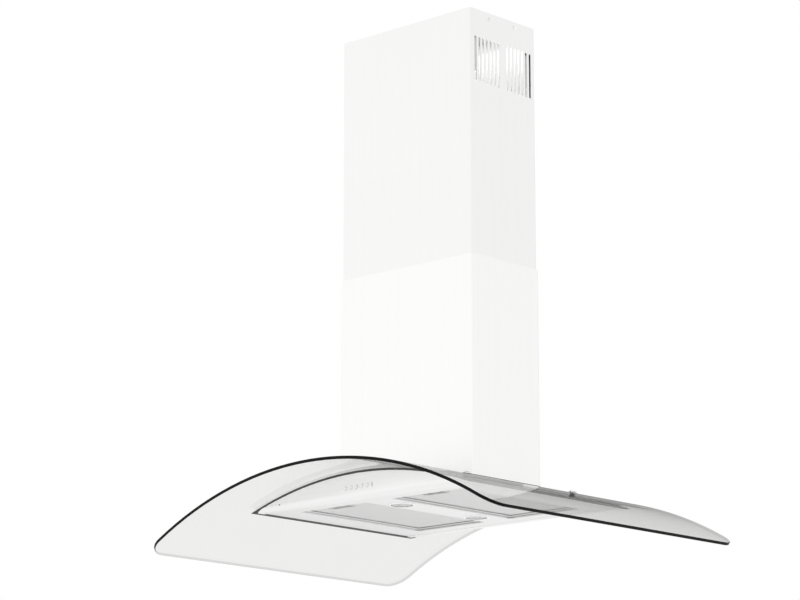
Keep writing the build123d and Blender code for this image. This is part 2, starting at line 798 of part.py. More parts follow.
screw_rows = (-sleeve_screw_spacing / 2, sleeve_screw_spacing / 2)
with BuildPart() as sleeve_screws:
    with Locations(*side_planes(upper_width / 2, screw_rows, -sleeve_screw_drop)):
        Cylinder(sleeve_screw_head_radius, sleeve_screw_head_height, align=stand)
        Cylinder(sleeve_screw_radius, 2 * (sheet + bracket_thickness), align=grip)
save(sleeve_screws.part, "sleeve_screws")

# --- Telescopic frame ------------------------------------------------------------------------------------------


def corner_angles(outer_x, outer_y, top_z):
    """Sections of four corner angles at a level, with their corners outwards."""
    with BuildSketch(Plane.XY.offset(top_z)) as angles:
        Rectangle(2 * outer_x, 2 * outer_y)
        Rectangle(2 * (outer_x - angle_wall), 2 * (outer_y - angle_wall), mode=Mode.SUBTRACT)
        Rectangle(2 * (outer_x - angle_leg), 2 * outer_y, mode=Mode.SUBTRACT)
        Rectangle(2 * outer_x, 2 * (outer_y - angle_leg), mode=Mode.SUBTRACT)
    return angles.sketch


def frame_ring(outer_x, outer_y, wall, top_z):
    """Section of a square band that ties four angles together, at a level."""
    with BuildSketch(Plane.XY.offset(top_z)) as band:
        RectangleRounded(2 * outer_x, 2 * outer_y, wall)
        Rectangle(2 * (outer_x - wall), 2 * (outer_y - wall), mode=Mode.SUBTRACT)
    return band.sketch


nested_x = angle_x - angle_wall - angle_gap
nested_y = angle_y - angle_wall - angle_gap
inner_x = nested_x - angle_wall
inner_y = nested_y - angle_wall
frame_bolt_y = nested_y - angle_leg / 2
slot_top_z = raise_travel - frame_bolt_drop
slot_bottom_z = -lower_travel - frame_bolt_drop
hanger_low_z = hanger_glass_gap - glass_drop
hanger_bolt_x = inner_x + angle_wall - angle_leg / 2
hanger_grip = angle_wall + hanger_wall  # upright and channel together
hanger_planes = [
    Plane(
        origin=(side * hanger_bolt_x, end * nested_y, hanger_low_z + share * hanger_height),
        x_dir=(1, 0, 0),
        z_dir=(0, end, 0),
    )
    for side in (-1, 1)
    for end in (-1, 1)
    for share in (0.15, 0.85)
]
upright_rows = (-upright_screw_y, upright_screw_y)
bolt_rows = (-frame_bolt_y, frame_bolt_y)

with BuildPart() as upper_uprights:
    extrude(
        corner_angles(angle_x, angle_y, -bracket_thickness),
        amount=bracket_thickness - upper_angle_bottom_drop,
    )
    with BuildSketch(Plane.YZ):
        with Locations((0, (slot_top_z + slot_bottom_z) / 2)):
            with GridLocations(2 * frame_bolt_y, 0, 2, 1):
                SlotOverall(
                    slot_top_z - slot_bottom_z + 2 * (frame_bolt_radius + frame_slot_gap),
                    2 * (frame_bolt_radius + frame_slot_gap),
                    rotation=90,
                )
        with Locations(
            (-upright_screw_y, -upright_screw_drop), (upright_screw_y, -upright_screw_drop)
        ):
            Circle(screw_radius)
    extrude(amount=upper_width, both=True, mode=Mode.SUBTRACT)
save(upper_uprights.part, "upper_uprights")

with BuildPart() as bracket_screws:
    with Locations(*side_planes(angle_x - angle_wall, upright_rows, -upright_screw_drop)):
        Cylinder(2 * screw_radius, screw_head_height, align=grip)
        Cylinder(screw_radius, angle_wall + bracket_thickness, align=stand)
save(bracket_screws.part, "bracket_screws")

with BuildPart() as upper_frame_ring:
    extrude(
        frame_ring(
            angle_x + ring_wall, angle_y + ring_wall, ring_wall,
            ring_height - upper_angle_bottom_drop,
        ),
        amount=-ring_height,
    )
save(upper_frame_ring.part, "upper_frame_ring")

with BuildPart() as lower_uprights:
    extrude(
        corner_angles(nested_x, nested_y, -lower_angle_top_drop),
        amount=hanger_low_z + lower_angle_top_drop,
    )
    with BuildSketch(Plane.YZ):
        with Locations((-frame_bolt_y, -frame_bolt_drop), (frame_bolt_y, -frame_bolt_drop)):
            Circle(frame_bolt_radius)
    extrude(amount=upper_width, both=True, mode=Mode.SUBTRACT)
    with Locations(*hanger_planes):
        Hole(hanger_bolt_radius, depth=hanger_grip)
save(lower_uprights.part, "lower_uprights")

with BuildPart() as lower_frame_ring:
    extrude(frame_ring(inner_x, inner_y, ring_wall, -lower_angle_top_drop), amount=-ring_height)
save(lower_frame_ring.part, "lower_frame_ring")

frame_bolt_tip = inner_x - frame_nut_height - frame_bolt_end
with BuildPart() as frame_bolts:
    with Locations(*side_planes(angle_x + angle_gap, bolt_rows, -frame_bolt_drop)):
        Cylinder(frame_bolt_head_radius, frame_bolt_head_height, align=stand)
        Cylinder(frame_bolt_radius, angle_x + angle_gap - frame_bolt_tip, align=grip)
save(frame_bolts.part, "frame_bolts")

with BuildPart() as frame_nuts:
    for plane in side_planes(inner_x, bolt_rows, -frame_bolt_drop):
        with BuildSketch(plane):
            RegularPolygon(frame_nut_size / 2, 6, major_radius=False)
            Circle(frame_bolt_radius, mode=Mode.SUBTRACT)
        extrude(amount=-frame_nut_height)
save(frame_nuts.part, "frame_nuts")

# Channels on both ends of the motor box carry the lower uprights.
with BuildPart() as hanger_channels:
    with BuildSketch(Plane.XY.offset(hanger_low_z)):
        Rectangle(2 * inner_x, 2 * inner_y)
        Rectangle(2 * inner_x, 2 * (inner_y - hanger_wall), mode=Mode.SUBTRACT)
        Rectangle(2 * (box_width / 2 + hanger_wall), 2 * (inner_y - hanger_wall))
        Rectangle(box_width, 2 * inner_y, mode=Mode.SUBTRACT)
    extrude(amount=hanger_height)
    with Locations(*hanger_planes):
        Hole(hanger_bolt_radius, depth=hanger_grip)
save(hanger_channels.part, "hanger_channels")

with BuildPart() as hanger_bolts:
    with Locations(*hanger_planes):
        Cylinder(hanger_head_radius, hanger_head_height, align=stand)
        Cylinder(hanger_bolt_radius, hanger_grip + hanger_wall, align=grip)
save(hanger_bolts.part, "hanger_bolts")

# --- Motor box ---------------------------------------------------------------------------------------------------

box_low_z = arch_height(deck_under_r, box_width / 2 + box_flange)

# The box stands through the deck, and its flange lies against the deck from below.
with BuildPart() as motor_box:
    extrude(
        arch_ring(deck_under_r, deck_under_r - sheet, box_low_z, box_depth / 2 + box_flange),
        amount=box_depth + 2 * box_flange,
    )
    with BuildSketch(Plane.XY.offset(box_low_z - sheet)):
        Rectangle(box_width + 2 * box_flange, box_depth + 2 * box_flange)
    extrude(amount=2 * body_height, mode=Mode.INTERSECT)
    with BuildSketch(Plane.XY.offset(-box_top_drop)):
        RectangleRounded(box_width, box_depth, box_bend_radius)
    extrude(amount=box_low_z + box_top_drop)
    with BuildSketch(Plane.XY.offset(-box_top_drop - sheet)):
        RectangleRounded(box_width - 2 * sheet, box_depth - 2 * sheet, box_bend_radius - sheet)
    extrude(amount=box_low_z + box_top_drop - 2 * sheet, mode=Mode.SUBTRACT)
    with BuildSketch(Plane.XY.offset(-box_top_drop)):
        Circle(collar_radius - collar_wall)
    extrude(amount=-sheet, mode=Mode.SUBTRACT)
    extrude(
        arch_disc(deck_under_r - sheet, box_depth), amount=2 * box_depth, mode=Mode.SUBTRACT
    )
save(motor_box.part, "motor_box")

# --- Blower ------------------------------------------------------------------------------------------------------

scroll_centre_z = -scroll_centre_drop
scroll_half = impeller_half_width + scroll_side_gap  # inside, from the middle to a side wall
neck_z = scroll_centre_z + scroll_neck_rise
first_radius = impeller_radius + scroll_start_gap
first_centre = (scroll_centre_x - scroll_growth / 2, scroll_centre_z - scroll_growth / 2)
second_centre = (first_centre[0] + scroll_growth, first_centre[1])
third_centre = (second_centre[0], second_centre[1] + scroll_growth)
third_radius = first_radius + 2 * scroll_growth
tongue_angle = 60.0
neck_left_x = first_centre[0] + first_radius * cos(radians(tongue_angle))
neck_right_x = third_centre[0] + third_radius


def scroll_outline(grow):
    """Spiral of three arcs that ends in the neck, grown outwards, in the upright plane Y = 0."""
    with BuildSketch(Plane.XZ) as outline:
        with BuildLine():
            first = CenterArc(first_centre, first_radius, tongue_angle, 180 - tongue_angle)
            CenterArc(second_centre, first_radius + scroll_growth, 180, 90)
            third = CenterArc(third_centre, third_radius, 270, 90)
            Polyline(third @ 1, (neck_right_x, neck_z), (neck_left_x, neck_z), first @ 0)
        make_face()
        if grow:
            offset(amount=grow, kind=Kind.INTERSECTION)
            with Locations((scroll_centre_x, neck_z)):
                Rectangle(
                    4 * third_radius,
                    4 * grow,
                    align=(Align.CENTER, Align.MIN),
                    mode=Mode.SUBTRACT,
                )
    return outline.sketch


def scroll_shell():
    """Front half of the scroll: side wall with its inlet, and the spiral wall to the middle."""
    with BuildPart() as shell:
        extrude(scroll_outline(scroll_wall), amount=scroll_half + scroll_wall)
        extrude(scroll_outline(0), amount=scroll_half, mode=Mode.SUBTRACT)
        with BuildSketch(Plane.XZ):
            with Locations((scroll_centre_x, scroll_centre_z)):
                Circle(scroll_inlet_radius)
        extrude(amount=scroll_half + scroll_wall, mode=Mode.SUBTRACT)
    return shell.part


save(scroll_shell(), "scroll_front")
save(mirror(scroll_shell(), about=Plane.XZ), "scroll_rear")

impeller_centre = (scroll_centre_x, scroll_centre_z)
blade_tip = (
    impeller_radius * cos(radians(blade_lead)),
    impeller_radius * sin(radians(blade_lead)),
)
with BuildSketch(Plane.XZ) as blade:
    with BuildLine():
        face = RadiusArc((impeller_inner_radius, 0), blade_tip, blade_curve_radius)
        back = RadiusArc(
            (impeller_inner_radius, blade_thickness),
            (blade_tip[0], blade_tip[1] + blade_thickness),
            blade_curve_radius,
        )
        Line(face @ 0, back @ 0)
        Line(face @ 1, back @ 1)
    make_face()
with BuildPart() as impeller:
    with BuildSketch(Plane.XZ):
        with Locations(impeller_centre):
            with PolarLocations(0, blade_count):
                add(blade.sketch_local)
    extrude(amount=impeller_half_width, both=True)
    with BuildSketch(Plane.XZ):
        with Locations(impeller_centre):
            Circle(impeller_radius + impeller_ring / 2)
    extrude(amount=impeller_plate / 2, both=True)
    for face_y in (impeller_half_width, impeller_ring - impeller_half_width):
        with BuildSketch(Plane.XZ.offset(-face_y)):
            with Locations(impeller_centre):
                Circle(impeller_radius + impeller_ring / 2)
                Circle(impeller_radius - 2 * impeller_ring, mode=Mode.SUBTRACT)
        extrude(amount=impeller_ring)
    with BuildSketch(Plane.XZ.offset(-hub_length)):
        with Locations(impeller_centre):
            Circle(hub_radius)
    extrude(amount=hub_length)
    with BuildSketch(Plane.XZ):
        with Locations(impeller_centre):
            Circle(shaft_radius)
    extrude(amount=hub_length, both=True, mode=Mode.SUBTRACT)
save(impeller.part, "impeller")

spider_y = -scroll_half - scroll_wall  # outer face of the scroll's front side wall
shaft_front_y = spider_y - 2 * spider_wall
with BuildPart() as motor_shaft:
    with BuildSketch(Plane.XZ.offset(-hub_length)):
        with Locations(impeller_centre):
            Circle(shaft_radius)
    extrude(amount=hub_length - shaft_front_y)
save(motor_shaft.part, "motor_shaft")

with BuildPart() as motor:
    with BuildSketch(Plane.XZ.offset(-spider_y)):
        with Locations(impeller_centre):
            Circle(motor_radius)
    extrude(amount=-motor_length)
    chamfer(motor.edges().group_by(Axis.Y)[-1], length=motor_radius / 6)
    with BuildSketch(Plane.XZ.offset(-spider_y)):
        with Locations(impeller_centre):
            Circle(shaft_radius + shaft_running_gap)
    extrude(amount=-motor_length, mode=Mode.SUBTRACT)
save(motor.part, "motor")

with BuildPart() as motor_spider:
    with BuildSketch(Plane.XZ.offset(-spider_y)):
        with Locations(impeller_centre):
            Circle(spider_ring_radius)
            with PolarLocations(0, 3, start_angle=90):
                Rectangle(
                    spider_reach, spider_arm_width, align=(Align.MIN, Align.CENTER)
                )
            Circle(spider_hole_radius, mode=Mode.SUBTRACT)
            with PolarLocations(spider_screw_circle, 3, start_angle=90):
                Circle(screw_radius, mode=Mode.SUBTRACT)
    extrude(amount=spider_wall)
save(motor_spider.part, "motor_spider")

with BuildPart() as spider_screws:
    with BuildSketch(Plane.XZ.offset(-spider_y + spider_wall)):
        with Locations(impeller_centre):
            with PolarLocations(spider_screw_circle, 3, start_angle=90):
                Circle(2 * screw_radius)
    extrude(amount=screw_head_height)
    with BuildSketch(Plane.XZ.offset(-spider_y + spider_wall)):
        with Locations(impeller_centre):
            with PolarLocations(spider_screw_circle, 3, start_angle=90):
                Circle(screw_radius)
    extrude(amount=-spider_wall)
save(spider_screws.part, "spider_screws")

# --- Outlet: adaptor from the neck to the round collar, with two flaps ---------------------------------------------

neck_middle_x = (neck_left_x + neck_right_x) / 2
neck_width = neck_right_x - neck_left_x
box_roof_z = -box_top_drop - sheet
adaptor_bore = collar_radius - 2 * collar_wall


def adaptor_solid(grow):
    """Transition from the scroll's neck to the round outlet, grown outwards."""
    with BuildPart() as transition:
        with BuildSketch(Plane.XY.offset(neck_z)):
            with Locations((neck_middle_x, 0)):
                Rectangle(neck_width + 2 * grow, 2 * (scroll_half + grow))
        with BuildSketch(Plane.XY.offset(box_roof_z)):
            Circle(adaptor_bore + grow)
        loft()
    return transition.part


with BuildPart() as outlet_adaptor:
    add(adaptor_solid(scroll_wall))
    with BuildSketch(Plane.XY.offset(box_roof_z)):
        Circle(adaptor_flange_radius)
        Circle(adaptor_bore, mode=Mode.SUBTRACT)
    extrude(amount=-scroll_wall)
    add(adaptor_solid(0), mode=Mode.SUBTRACT)
save(outlet_adaptor.part, "outlet_adaptor")

flap_z = flap_seat_height - box_top_drop
collar_bore = collar_radius - collar_wall
ledge_z = flap_z - flap_rod_radius - rest_gap
with BuildPart() as outlet_collar:
    with BuildSketch(Plane.XY.offset(-box_top_drop)):
        Circle(collar_flange_radius)
    extrude(amount=collar_flange)
    with BuildSketch(Plane.XY.offset(-box_top_drop)):
        Circle(collar_radius)
    extrude(amount=collar_height)
    with BuildSketch(Plane.XY.offset(-box_top_drop)):
        Circle(collar_bore)
    extrude(amount=collar_height, mode=Mode.SUBTRACT)
    with BuildSketch(Plane.XY.offset(ledge_z)):
        Circle(collar_bore + collar_wall / 2)
        Circle(collar_bore - ledge_width, mode=Mode.SUBTRACT)
    extrude(amount=-ledge_thickness)
    with BuildSketch(Plane.XZ):
        with Locations((-flap_rod_x, flap_z), (flap_rod_x, flap_z)):
            Circle(flap_rod_radius + shaft_running_gap)
    extrude(amount=collar_radius, both=True, mode=Mode.SUBTRACT)
save(outlet_collar.part, "outlet_collar")

for side, hand in (("left", -1), ("right", 1)):
    with BuildPart() as flap:
        with BuildSketch(Plane.XY.offset(flap_z - flap_thickness / 2)):
            Circle(collar_bore - flap_edge_gap)
            with Locations((hand * flap_rod_x, 0)):
                Rectangle(
                    4 * collar_radius,
                    4 * collar_radius,
                    align=(Align.MIN if hand > 0 else Align.MAX, Align.CENTER),
                    mode=Mode.INTERSECT,
                )
        extrude(amount=flap_thickness)
        with BuildSketch(Plane.XZ):
            with Locations((hand * flap_rod_x, flap_z)):
                Circle(flap_rod_radius)
        extrude(amount=collar_bore + collar_wall / 2, both=True)
    save(flap.part, f"{side}_flap")

# --- Electrical pieces on the motor box ------------------------------------------------------------------------------

terminal_lid_z = terminal_box_height - box_top_drop
with BuildPart() as terminal_box:
    with BuildSketch(Plane.XY.offset(-box_top_drop)):
        with Locations((terminal_box_x, 0)):
            RectangleRounded(terminal_box_width, terminal_box_length, 2 * terminal_box_wall)
    extrude(amount=terminal_box_height)
    with BuildSketch(Plane.XY.offset(terminal_box_wall - box_top_drop)):
        with Locations((terminal_box_x, 0)):
            Rectangle(
                terminal_box_width - 2 * terminal_box_wall,
                terminal_box_length - 2 * terminal_box_wall,
            )
    extrude(amount=terminal_box_height, mode=Mode.SUBTRACT)
save(terminal_box.part, "terminal_box")

with BuildPart() as terminal_lid:
    with BuildSketch(Plane.XY.offset(terminal_lid_z)):
        with Locations((terminal_box_x, 0)):
            RectangleRounded(terminal_box_width, terminal_box_length, 2 * terminal_box_wall)
            Circle(gland_radius / 2 + gland_bore_radius / 2, mode=Mode.SUBTRACT)
    extrude(amount=terminal_lid_thickness)
save(terminal_lid.part, "terminal_lid")

with BuildPart() as cable_gland:
    with BuildSketch(Plane.XY.offset(terminal_lid_z + terminal_lid_thickness)):
        with Locations((terminal_box_x, 0)):
            RegularPolygon(gland_radius, 6, major_radius=False)
    extrude(amount=gland_length / 2)
    with BuildSketch(Plane.XY.offset(terminal_lid_z)):
        with Locations((terminal_box_x, 0)):
            Circle(gland_radius / 2 + gland_bore_radius / 2)
    extrude(amount=terminal_lid_thickness + gland_length)
    with BuildSketch(Plane.XY.offset(terminal_lid_z)):
        with Locations((terminal_box_x, 0)):
            Circle(gland_bore_radius)
    extrude(amount=terminal_lid_thickness + gland_length, mode=Mode.SUBTRACT)
save(cable_gland.part, "cable_gland")

# The capacitor hangs from the roof of the motor box beside the adaptor.
capacitor_x = 3 * capacitor_radius + sheet - box_width / 2
with BuildPart() as run_capacitor:
    with BuildSketch(Plane.XY.offset(box_roof_z)):
        with Locations((capacitor_x, box_depth / 2 - sheet - capacitor_radius)):
            Circle(capacitor_radius)
    extrude(amount=-capacitor_length)
    chamfer(run_capacitor.edges().group_by(Axis.Z)[0], length=capacitor_radius / 6)
save(run_capacitor.part, "run_capacitor")
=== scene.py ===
"""Looks of the island range hood with the curved glass canopy.

Everything is in metres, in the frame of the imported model: z = 0 is the ceiling face, X runs
across the arch of the glass and -Y is the side with the push buttons.
"""

from __future__ import annotations

import json
import logging
import math
from dataclasses import dataclass
from enum import Enum
from typing import Any, Sequence, Union

import bmesh
import bpy
from mathutils import Euler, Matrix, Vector


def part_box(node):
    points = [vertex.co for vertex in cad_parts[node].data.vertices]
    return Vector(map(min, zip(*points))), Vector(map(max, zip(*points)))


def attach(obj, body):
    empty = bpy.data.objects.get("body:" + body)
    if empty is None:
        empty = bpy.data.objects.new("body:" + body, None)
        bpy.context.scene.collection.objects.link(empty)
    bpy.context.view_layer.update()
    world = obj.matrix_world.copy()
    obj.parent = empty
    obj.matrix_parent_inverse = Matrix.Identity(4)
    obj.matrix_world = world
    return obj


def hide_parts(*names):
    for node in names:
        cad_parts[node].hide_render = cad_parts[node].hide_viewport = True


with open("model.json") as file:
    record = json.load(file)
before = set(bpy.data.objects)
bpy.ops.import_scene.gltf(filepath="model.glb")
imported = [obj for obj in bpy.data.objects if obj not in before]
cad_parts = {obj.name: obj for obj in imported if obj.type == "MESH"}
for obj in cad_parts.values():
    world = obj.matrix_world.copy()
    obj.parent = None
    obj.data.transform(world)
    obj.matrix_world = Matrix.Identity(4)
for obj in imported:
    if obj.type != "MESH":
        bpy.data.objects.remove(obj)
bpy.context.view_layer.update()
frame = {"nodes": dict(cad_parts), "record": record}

log = logging.getLogger("range_hood")

Colour = tuple[float, float, float]
Point = tuple[float, float, float]
Pair = tuple[float, float]
Number = Union["Term", float]
Socket = bpy.types.NodeSocket

WHITE: Colour = (1.0, 1.0, 1.0)
NOISE_MEAN = 0.5
DRAWN_OUT = 0.012
LAMP_Y = 0.108
ON_AXIS = 1e-6
MATERIALS: dict[str, bpy.types.Material] = {}


# --- Node trees ---


class NodeTree:
    """Builds nodes in a shader tree or a geometry tree."""

    def __init__(self, tree: bpy.types.NodeTree) -> None:
        """Keeps the tree that the nodes go into.

        Args:
            tree: The tree to build in.
        """
        self.tree = tree

    def node(
        self,
        kind: str,
        settings: dict[str, Any] | None = None,
        inputs: dict[str | int, Any] | None = None,
    ) -> bpy.types.Node:
        """Adds a node.

        Args:
            kind: The node's type.
            settings: Properties of the node, set before its inputs.
            inputs: Values, sockets or terms for the node's inputs, by name or place.

        Returns:
            The new node.
        """
        made = self.tree.nodes.new(kind)
        for name, value in (settings or {}).items():
            setattr(made, name, value)
        for key, value in (inputs or {}).items():
            self.feed(made.inputs[key], value)
        return made

    def feed(self, socket: Socket, value: Any) -> None:
        """Links a socket or a term to an input, or sets the input's value.

        Args:
            socket: The input to feed.
            value: A term, a socket, a number, a colour or a vector.
        """
        if isinstance(value, Term):
            value = value.socket
        if isinstance(value, Socket):
            self.tree.links.new(value, socket)
        elif socket.type == "RGBA":
            socket.default_value = (*value, 1.0)
        else:
            socket.default_value = value

    def term(
        self,
        kind: str,
        settings: dict[str, Any] | None = None,
        inputs: dict[str | int, Any] | None = None,
        output: int | str = 0,
    ) -> Term:
        """Adds a node and wraps one of its outputs.

        Args:
            kind: The node's type.
            settings: Properties of the node.
            inputs: Its inputs.
            output: Name or place of the wanted output.

        Returns:
            The output as a term.
        """
        return Term(self, self.node(kind, settings, inputs).outputs[output])

    def split(self, vector: Any) -> tuple[Term, Term, Term]:
        """X, Y and Z of a vector."""
        parts = self.node("ShaderNodeSeparateXYZ", inputs={0: vector})
        return tuple(Term(self, output) for output in parts.outputs)


class Term:
    """A number in a node tree, written in Python expressions."""

    def __init__(self, graph: NodeTree, socket: Socket) -> None:
        """Wraps a socket.

        Args:
            graph: The tree that the socket is in.
            socket: An output with one number.
        """
        self.graph = graph
        self.socket = socket

    def _maths(self, operation: str, *operands: Number) -> Term:
        """Adds a Math node.

        Args:
            operation: What the node works out.
            operands: Its numbers, in order.

        Returns:
            The result.
        """
        kind = "ShaderNodeMath"
        return self.graph.term(kind, {"operation": operation}, dict(enumerate(operands)))

    def __add__(self, other: Number) -> Term:
        """Sum."""
        return self._maths("ADD", self, other)

    __radd__ = __add__

    def __sub__(self, other: Number) -> Term:
        """Difference."""
        return self._maths("SUBTRACT", self, other)

    def __rsub__(self, other: float) -> Term:
        """Difference from a number."""
        return self._maths("SUBTRACT", other, self)

    def __mul__(self, other: Number) -> Term:
        """Product."""
        return self._maths("MULTIPLY", self, other)

    __rmul__ = __mul__

    def __truediv__(self, other: Number) -> Term:
        """Quotient."""
        return self._maths("DIVIDE", self, other)

    def __mod__(self, other: float) -> Term:
        """Remainder."""
        return self._maths("MODULO", self, other)

    def __abs__(self) -> Term:
        """Size without its sign."""
        return self._maths("ABSOLUTE", self)

    def lower(self, other: Number) -> Term:
        """The lower of two numbers."""
        return self._maths("MINIMUM", self, other)

    def higher(self, other: Number) -> Term:
        """The higher of two numbers."""
        return self._maths("MAXIMUM", self, other)

    def root(self) -> Term:
        """Square root."""
        return self._maths("SQRT", self)

    def bearing(self, other: Term) -> Term:
        """Angle whose tangent is this number over the other."""
        return self._maths("ARCTAN2", self, other)

    def wave(self) -> Term:
        """Sine of this angle, brought from -1 to 1 into 0 to 1."""
        return self._maths("SINE", self) * 0.5 + 0.5

    def step(self, low: float, high: float) -> Term:
        """Smooth step.

        Args:
            low: Where the step starts from 0.
            high: Where it reaches 1.

        Returns:
            A number from 0 to 1.
        """
        return self.graph.term(
            "ShaderNodeMapRange",
            {"interpolation_type": "SMOOTHSTEP"},
            {"Value": self, "From Min": low, "From Max": high},
        )


class Shader(NodeTree):
    """Shader tree of one material."""

    def __init__(self, material: bpy.types.Material) -> None:
        """Empties the material's tree.

        Args:
            material: The material to build.
        """
        material.use_nodes = True
        super().__init__(material.node_tree)
        self.tree.nodes.clear()
        self.place = self.node("ShaderNodeTexCoord").outputs["Object"]

    def noise(self, scale: float, stretch: Point = (1.0, 1.0, 1.0), detail: float = 2.0) -> Term:
        """Cloudy noise.

        Args:
            scale: Features in a metre.
            stretch: Factors along X, Y and Z; a small one draws the noise out into lines.
            detail: Number of finer octaves.

        Returns:
            A number around NOISE_MEAN.
        """
        mapped = self.node(
            "ShaderNodeMapping", inputs={"Vector": self.place, "Scale": stretch}
        ).outputs[0]
        return self.term(
            "ShaderNodeTexNoise", inputs={"Vector": mapped, "Scale": scale, "Detail": detail}
        )

    def blend(self, factor: Number, first: Any, second: Any) -> Socket:
        """Mixes two colours.

        The Mix node has A, B and Result for each kind of value: the colours' are 6, 7 and 2.

        Args:
            factor: 0 for the first, 1 for the second.
            first: Colour or socket.
            second: Colour or socket.

        Returns:
            The mixed colour's socket.
        """
        mix = self.node(
            "ShaderNodeMix", {"data_type": "RGBA"}, {0: factor, 6: first, 7: second}
        )
        return mix.outputs[2]

    def bump(self, height: Term, strength: float, distance: float) -> Socket:
        """Small relief.

        Args:
            height: Relief, from 0 to 1.
            strength: Share of the relief that shows.
            distance: Height of the relief in metres.

        Returns:
            The bent normal's socket.
        """
        return self.node(
            "ShaderNodeBump",
            inputs={"Strength": strength, "Distance": distance, "Height": height},
        ).outputs[0]

    def principled(self, **sockets: Any) -> Socket:
        """Adds a Principled BSDF.

        Args:
            sockets: Its inputs, with underscores for the spaces in their names.

        Returns:
            The shader's socket.
        """
        inputs = {name.replace("_", " "): value for name, value in sockets.items()}
        return self.node("ShaderNodeBsdfPrincipled", inputs=inputs).outputs[0]

    def mix(self, factor: Any, first: Socket, second: Socket) -> Socket:
        """Mixes two shaders.

        Args:
            factor: 0 for the first, 1 for the second.
            first: A shader's socket.
            second: A shader's socket.

        Returns:
            The mixed shader's socket.
        """
        return self.node("ShaderNodeMixShader", inputs={0: factor, 1: first, 2: second}).outputs[0]

    def surface(self, shader: Socket) -> bpy.types.Node:
        """Puts a shader on the surface and returns the output node."""
        return self.node("ShaderNodeOutputMaterial", inputs={"Surface": shader})

    def paint(self, **sockets: Any) -> None:
        """Puts a Principled BSDF with these inputs on the surface."""
        self.surface(self.principled(**sockets))


# --- Finishes ---


class Grain(Enum):
    """Direction in which steel is brushed: factors that draw noise out into lines."""

    UPRIGHT = (1.0, 1.0, DRAWN_OUT)
    ACROSS = (DRAWN_OUT, 1.0, 1.0)
    ALONG = (1.0, DRAWN_OUT, 1.0)
    ROUND = (1.0, 1.0, 1.0)


@dataclass(frozen=True)
class Finish:
    """A finish of the hood, made into one material."""

    name: str
    tone: Colour

    def material(self) -> bpy.types.Material:
        """Gives the finish's material, and makes it when it is first asked for.

        Returns:
            The material.
        """
        if self.name not in MATERIALS:
            MATERIALS[self.name] = bpy.data.materials.new(f"{self.name}_finish")
            self.shade(Shader(MATERIALS[self.name]))
        return MATERIALS[self.name]

    def shade(self, shader: Shader) -> None:
        """Builds the material's nodes.

        Args:
            shader: The material's tree.
        """
        raise NotImplementedError

    def lighter(self, factor: float) -> Colour:
        """The tone times a factor, at most white."""
        return tuple(min(1.0, channel * factor) for channel in self.tone)


@dataclass(frozen=True)
class BrushedMetal(Finish):
    """Satin metal with fine and broad brushed lines and faint wipe marks.

    Attributes:
        lines: Fine lines in a metre.
        relief: Share of the lines' depth that shows.
        contrast: How much darker the lines are than the metal.
        fine_per_broad: Fine lines for each broad one.
        fine_share: Weight of the fine lines against the broad ones.
        line_span: Noise between which the tone turns from a line's to the metal's.
    """

    grain: Grain = Grain.UPRIGHT
    roughness: float = 0.32
    lines: float = 900.0
    relief: float = 0.05
    contrast: float = 0.02
    depth: float = 0.0002
    fine_per_broad: float = 9.0
    fine_share: float = 0.65
    line_span: Pair = (0.3, 0.7)
    line_roughness: float = 0.10
    wipe_scale: float = 5.0
    wipe_roughness: float = 0.06

    def shade(self, shader: Shader) -> None:
        """Builds the material's nodes.

        Args:
            shader: The material's tree.
        """
        fine = shader.noise(self.lines, self.grain.value, detail=3.0)
        broad = shader.noise(self.lines / self.fine_per_broad, self.grain.value, detail=1.0)
        wiped = shader.noise(self.wipe_scale)
        lines = self.fine_share * fine + (1.0 - self.fine_share) * broad
        darker = self.lighter(1.0 - self.contrast)
        rough = (
            self.roughness
            + self.line_roughness * (lines - NOISE_MEAN)
            + self.wipe_roughness * (wiped - NOISE_MEAN)
        )
        shader.paint(
            Base_Color=shader.blend(lines.step(*self.line_span), darker, self.tone),
            Metallic=1.0,
            Roughness=rough,
            Normal=shader.bump(fine, self.relief, self.depth),
        )


@dataclass(frozen=True)
class Galvanised(Finish):
    """Zinc-coated sheet with its spangle.

    Attributes:
        cell_scale: Crystals in a metre.
        cell_share: Weight of the crystals against the clouds over them.
        tone_range: Factors on the tone for the darkest and the lightest crystal.
    """

    cell_scale: float = 90.0
    cell_share: float = 0.6
    cloud_scale: float = 14.0
    tone_range: Pair = (0.82, 1.12)
    roughness: float = 0.38
    spangle_roughness: float = 0.18
    relief: float = 0.08
    depth: float = 0.001

    def shade(self, shader: Shader) -> None:
        """Builds the material's nodes.

        Args:
            shader: The material's tree.
        """
        cells = shader.node(
            "ShaderNodeTexVoronoi", inputs={"Vector": shader.place, "Scale": self.cell_scale}
        )
        shade = shader.term("ShaderNodeSeparateColor", inputs={0: cells.outputs["Color"]})
        cloud = shader.noise(self.cloud_scale, detail=3.0)
        spangle = self.cell_share * shade + (1.0 - self.cell_share) * cloud
        shader.paint(
            Base_Color=shader.blend(spangle, *map(self.lighter, self.tone_range)),
            Metallic=1.0,
            Roughness=self.roughness + self.spangle_roughness * spangle,
            Normal=shader.bump(cloud, self.relief, self.depth),
        )


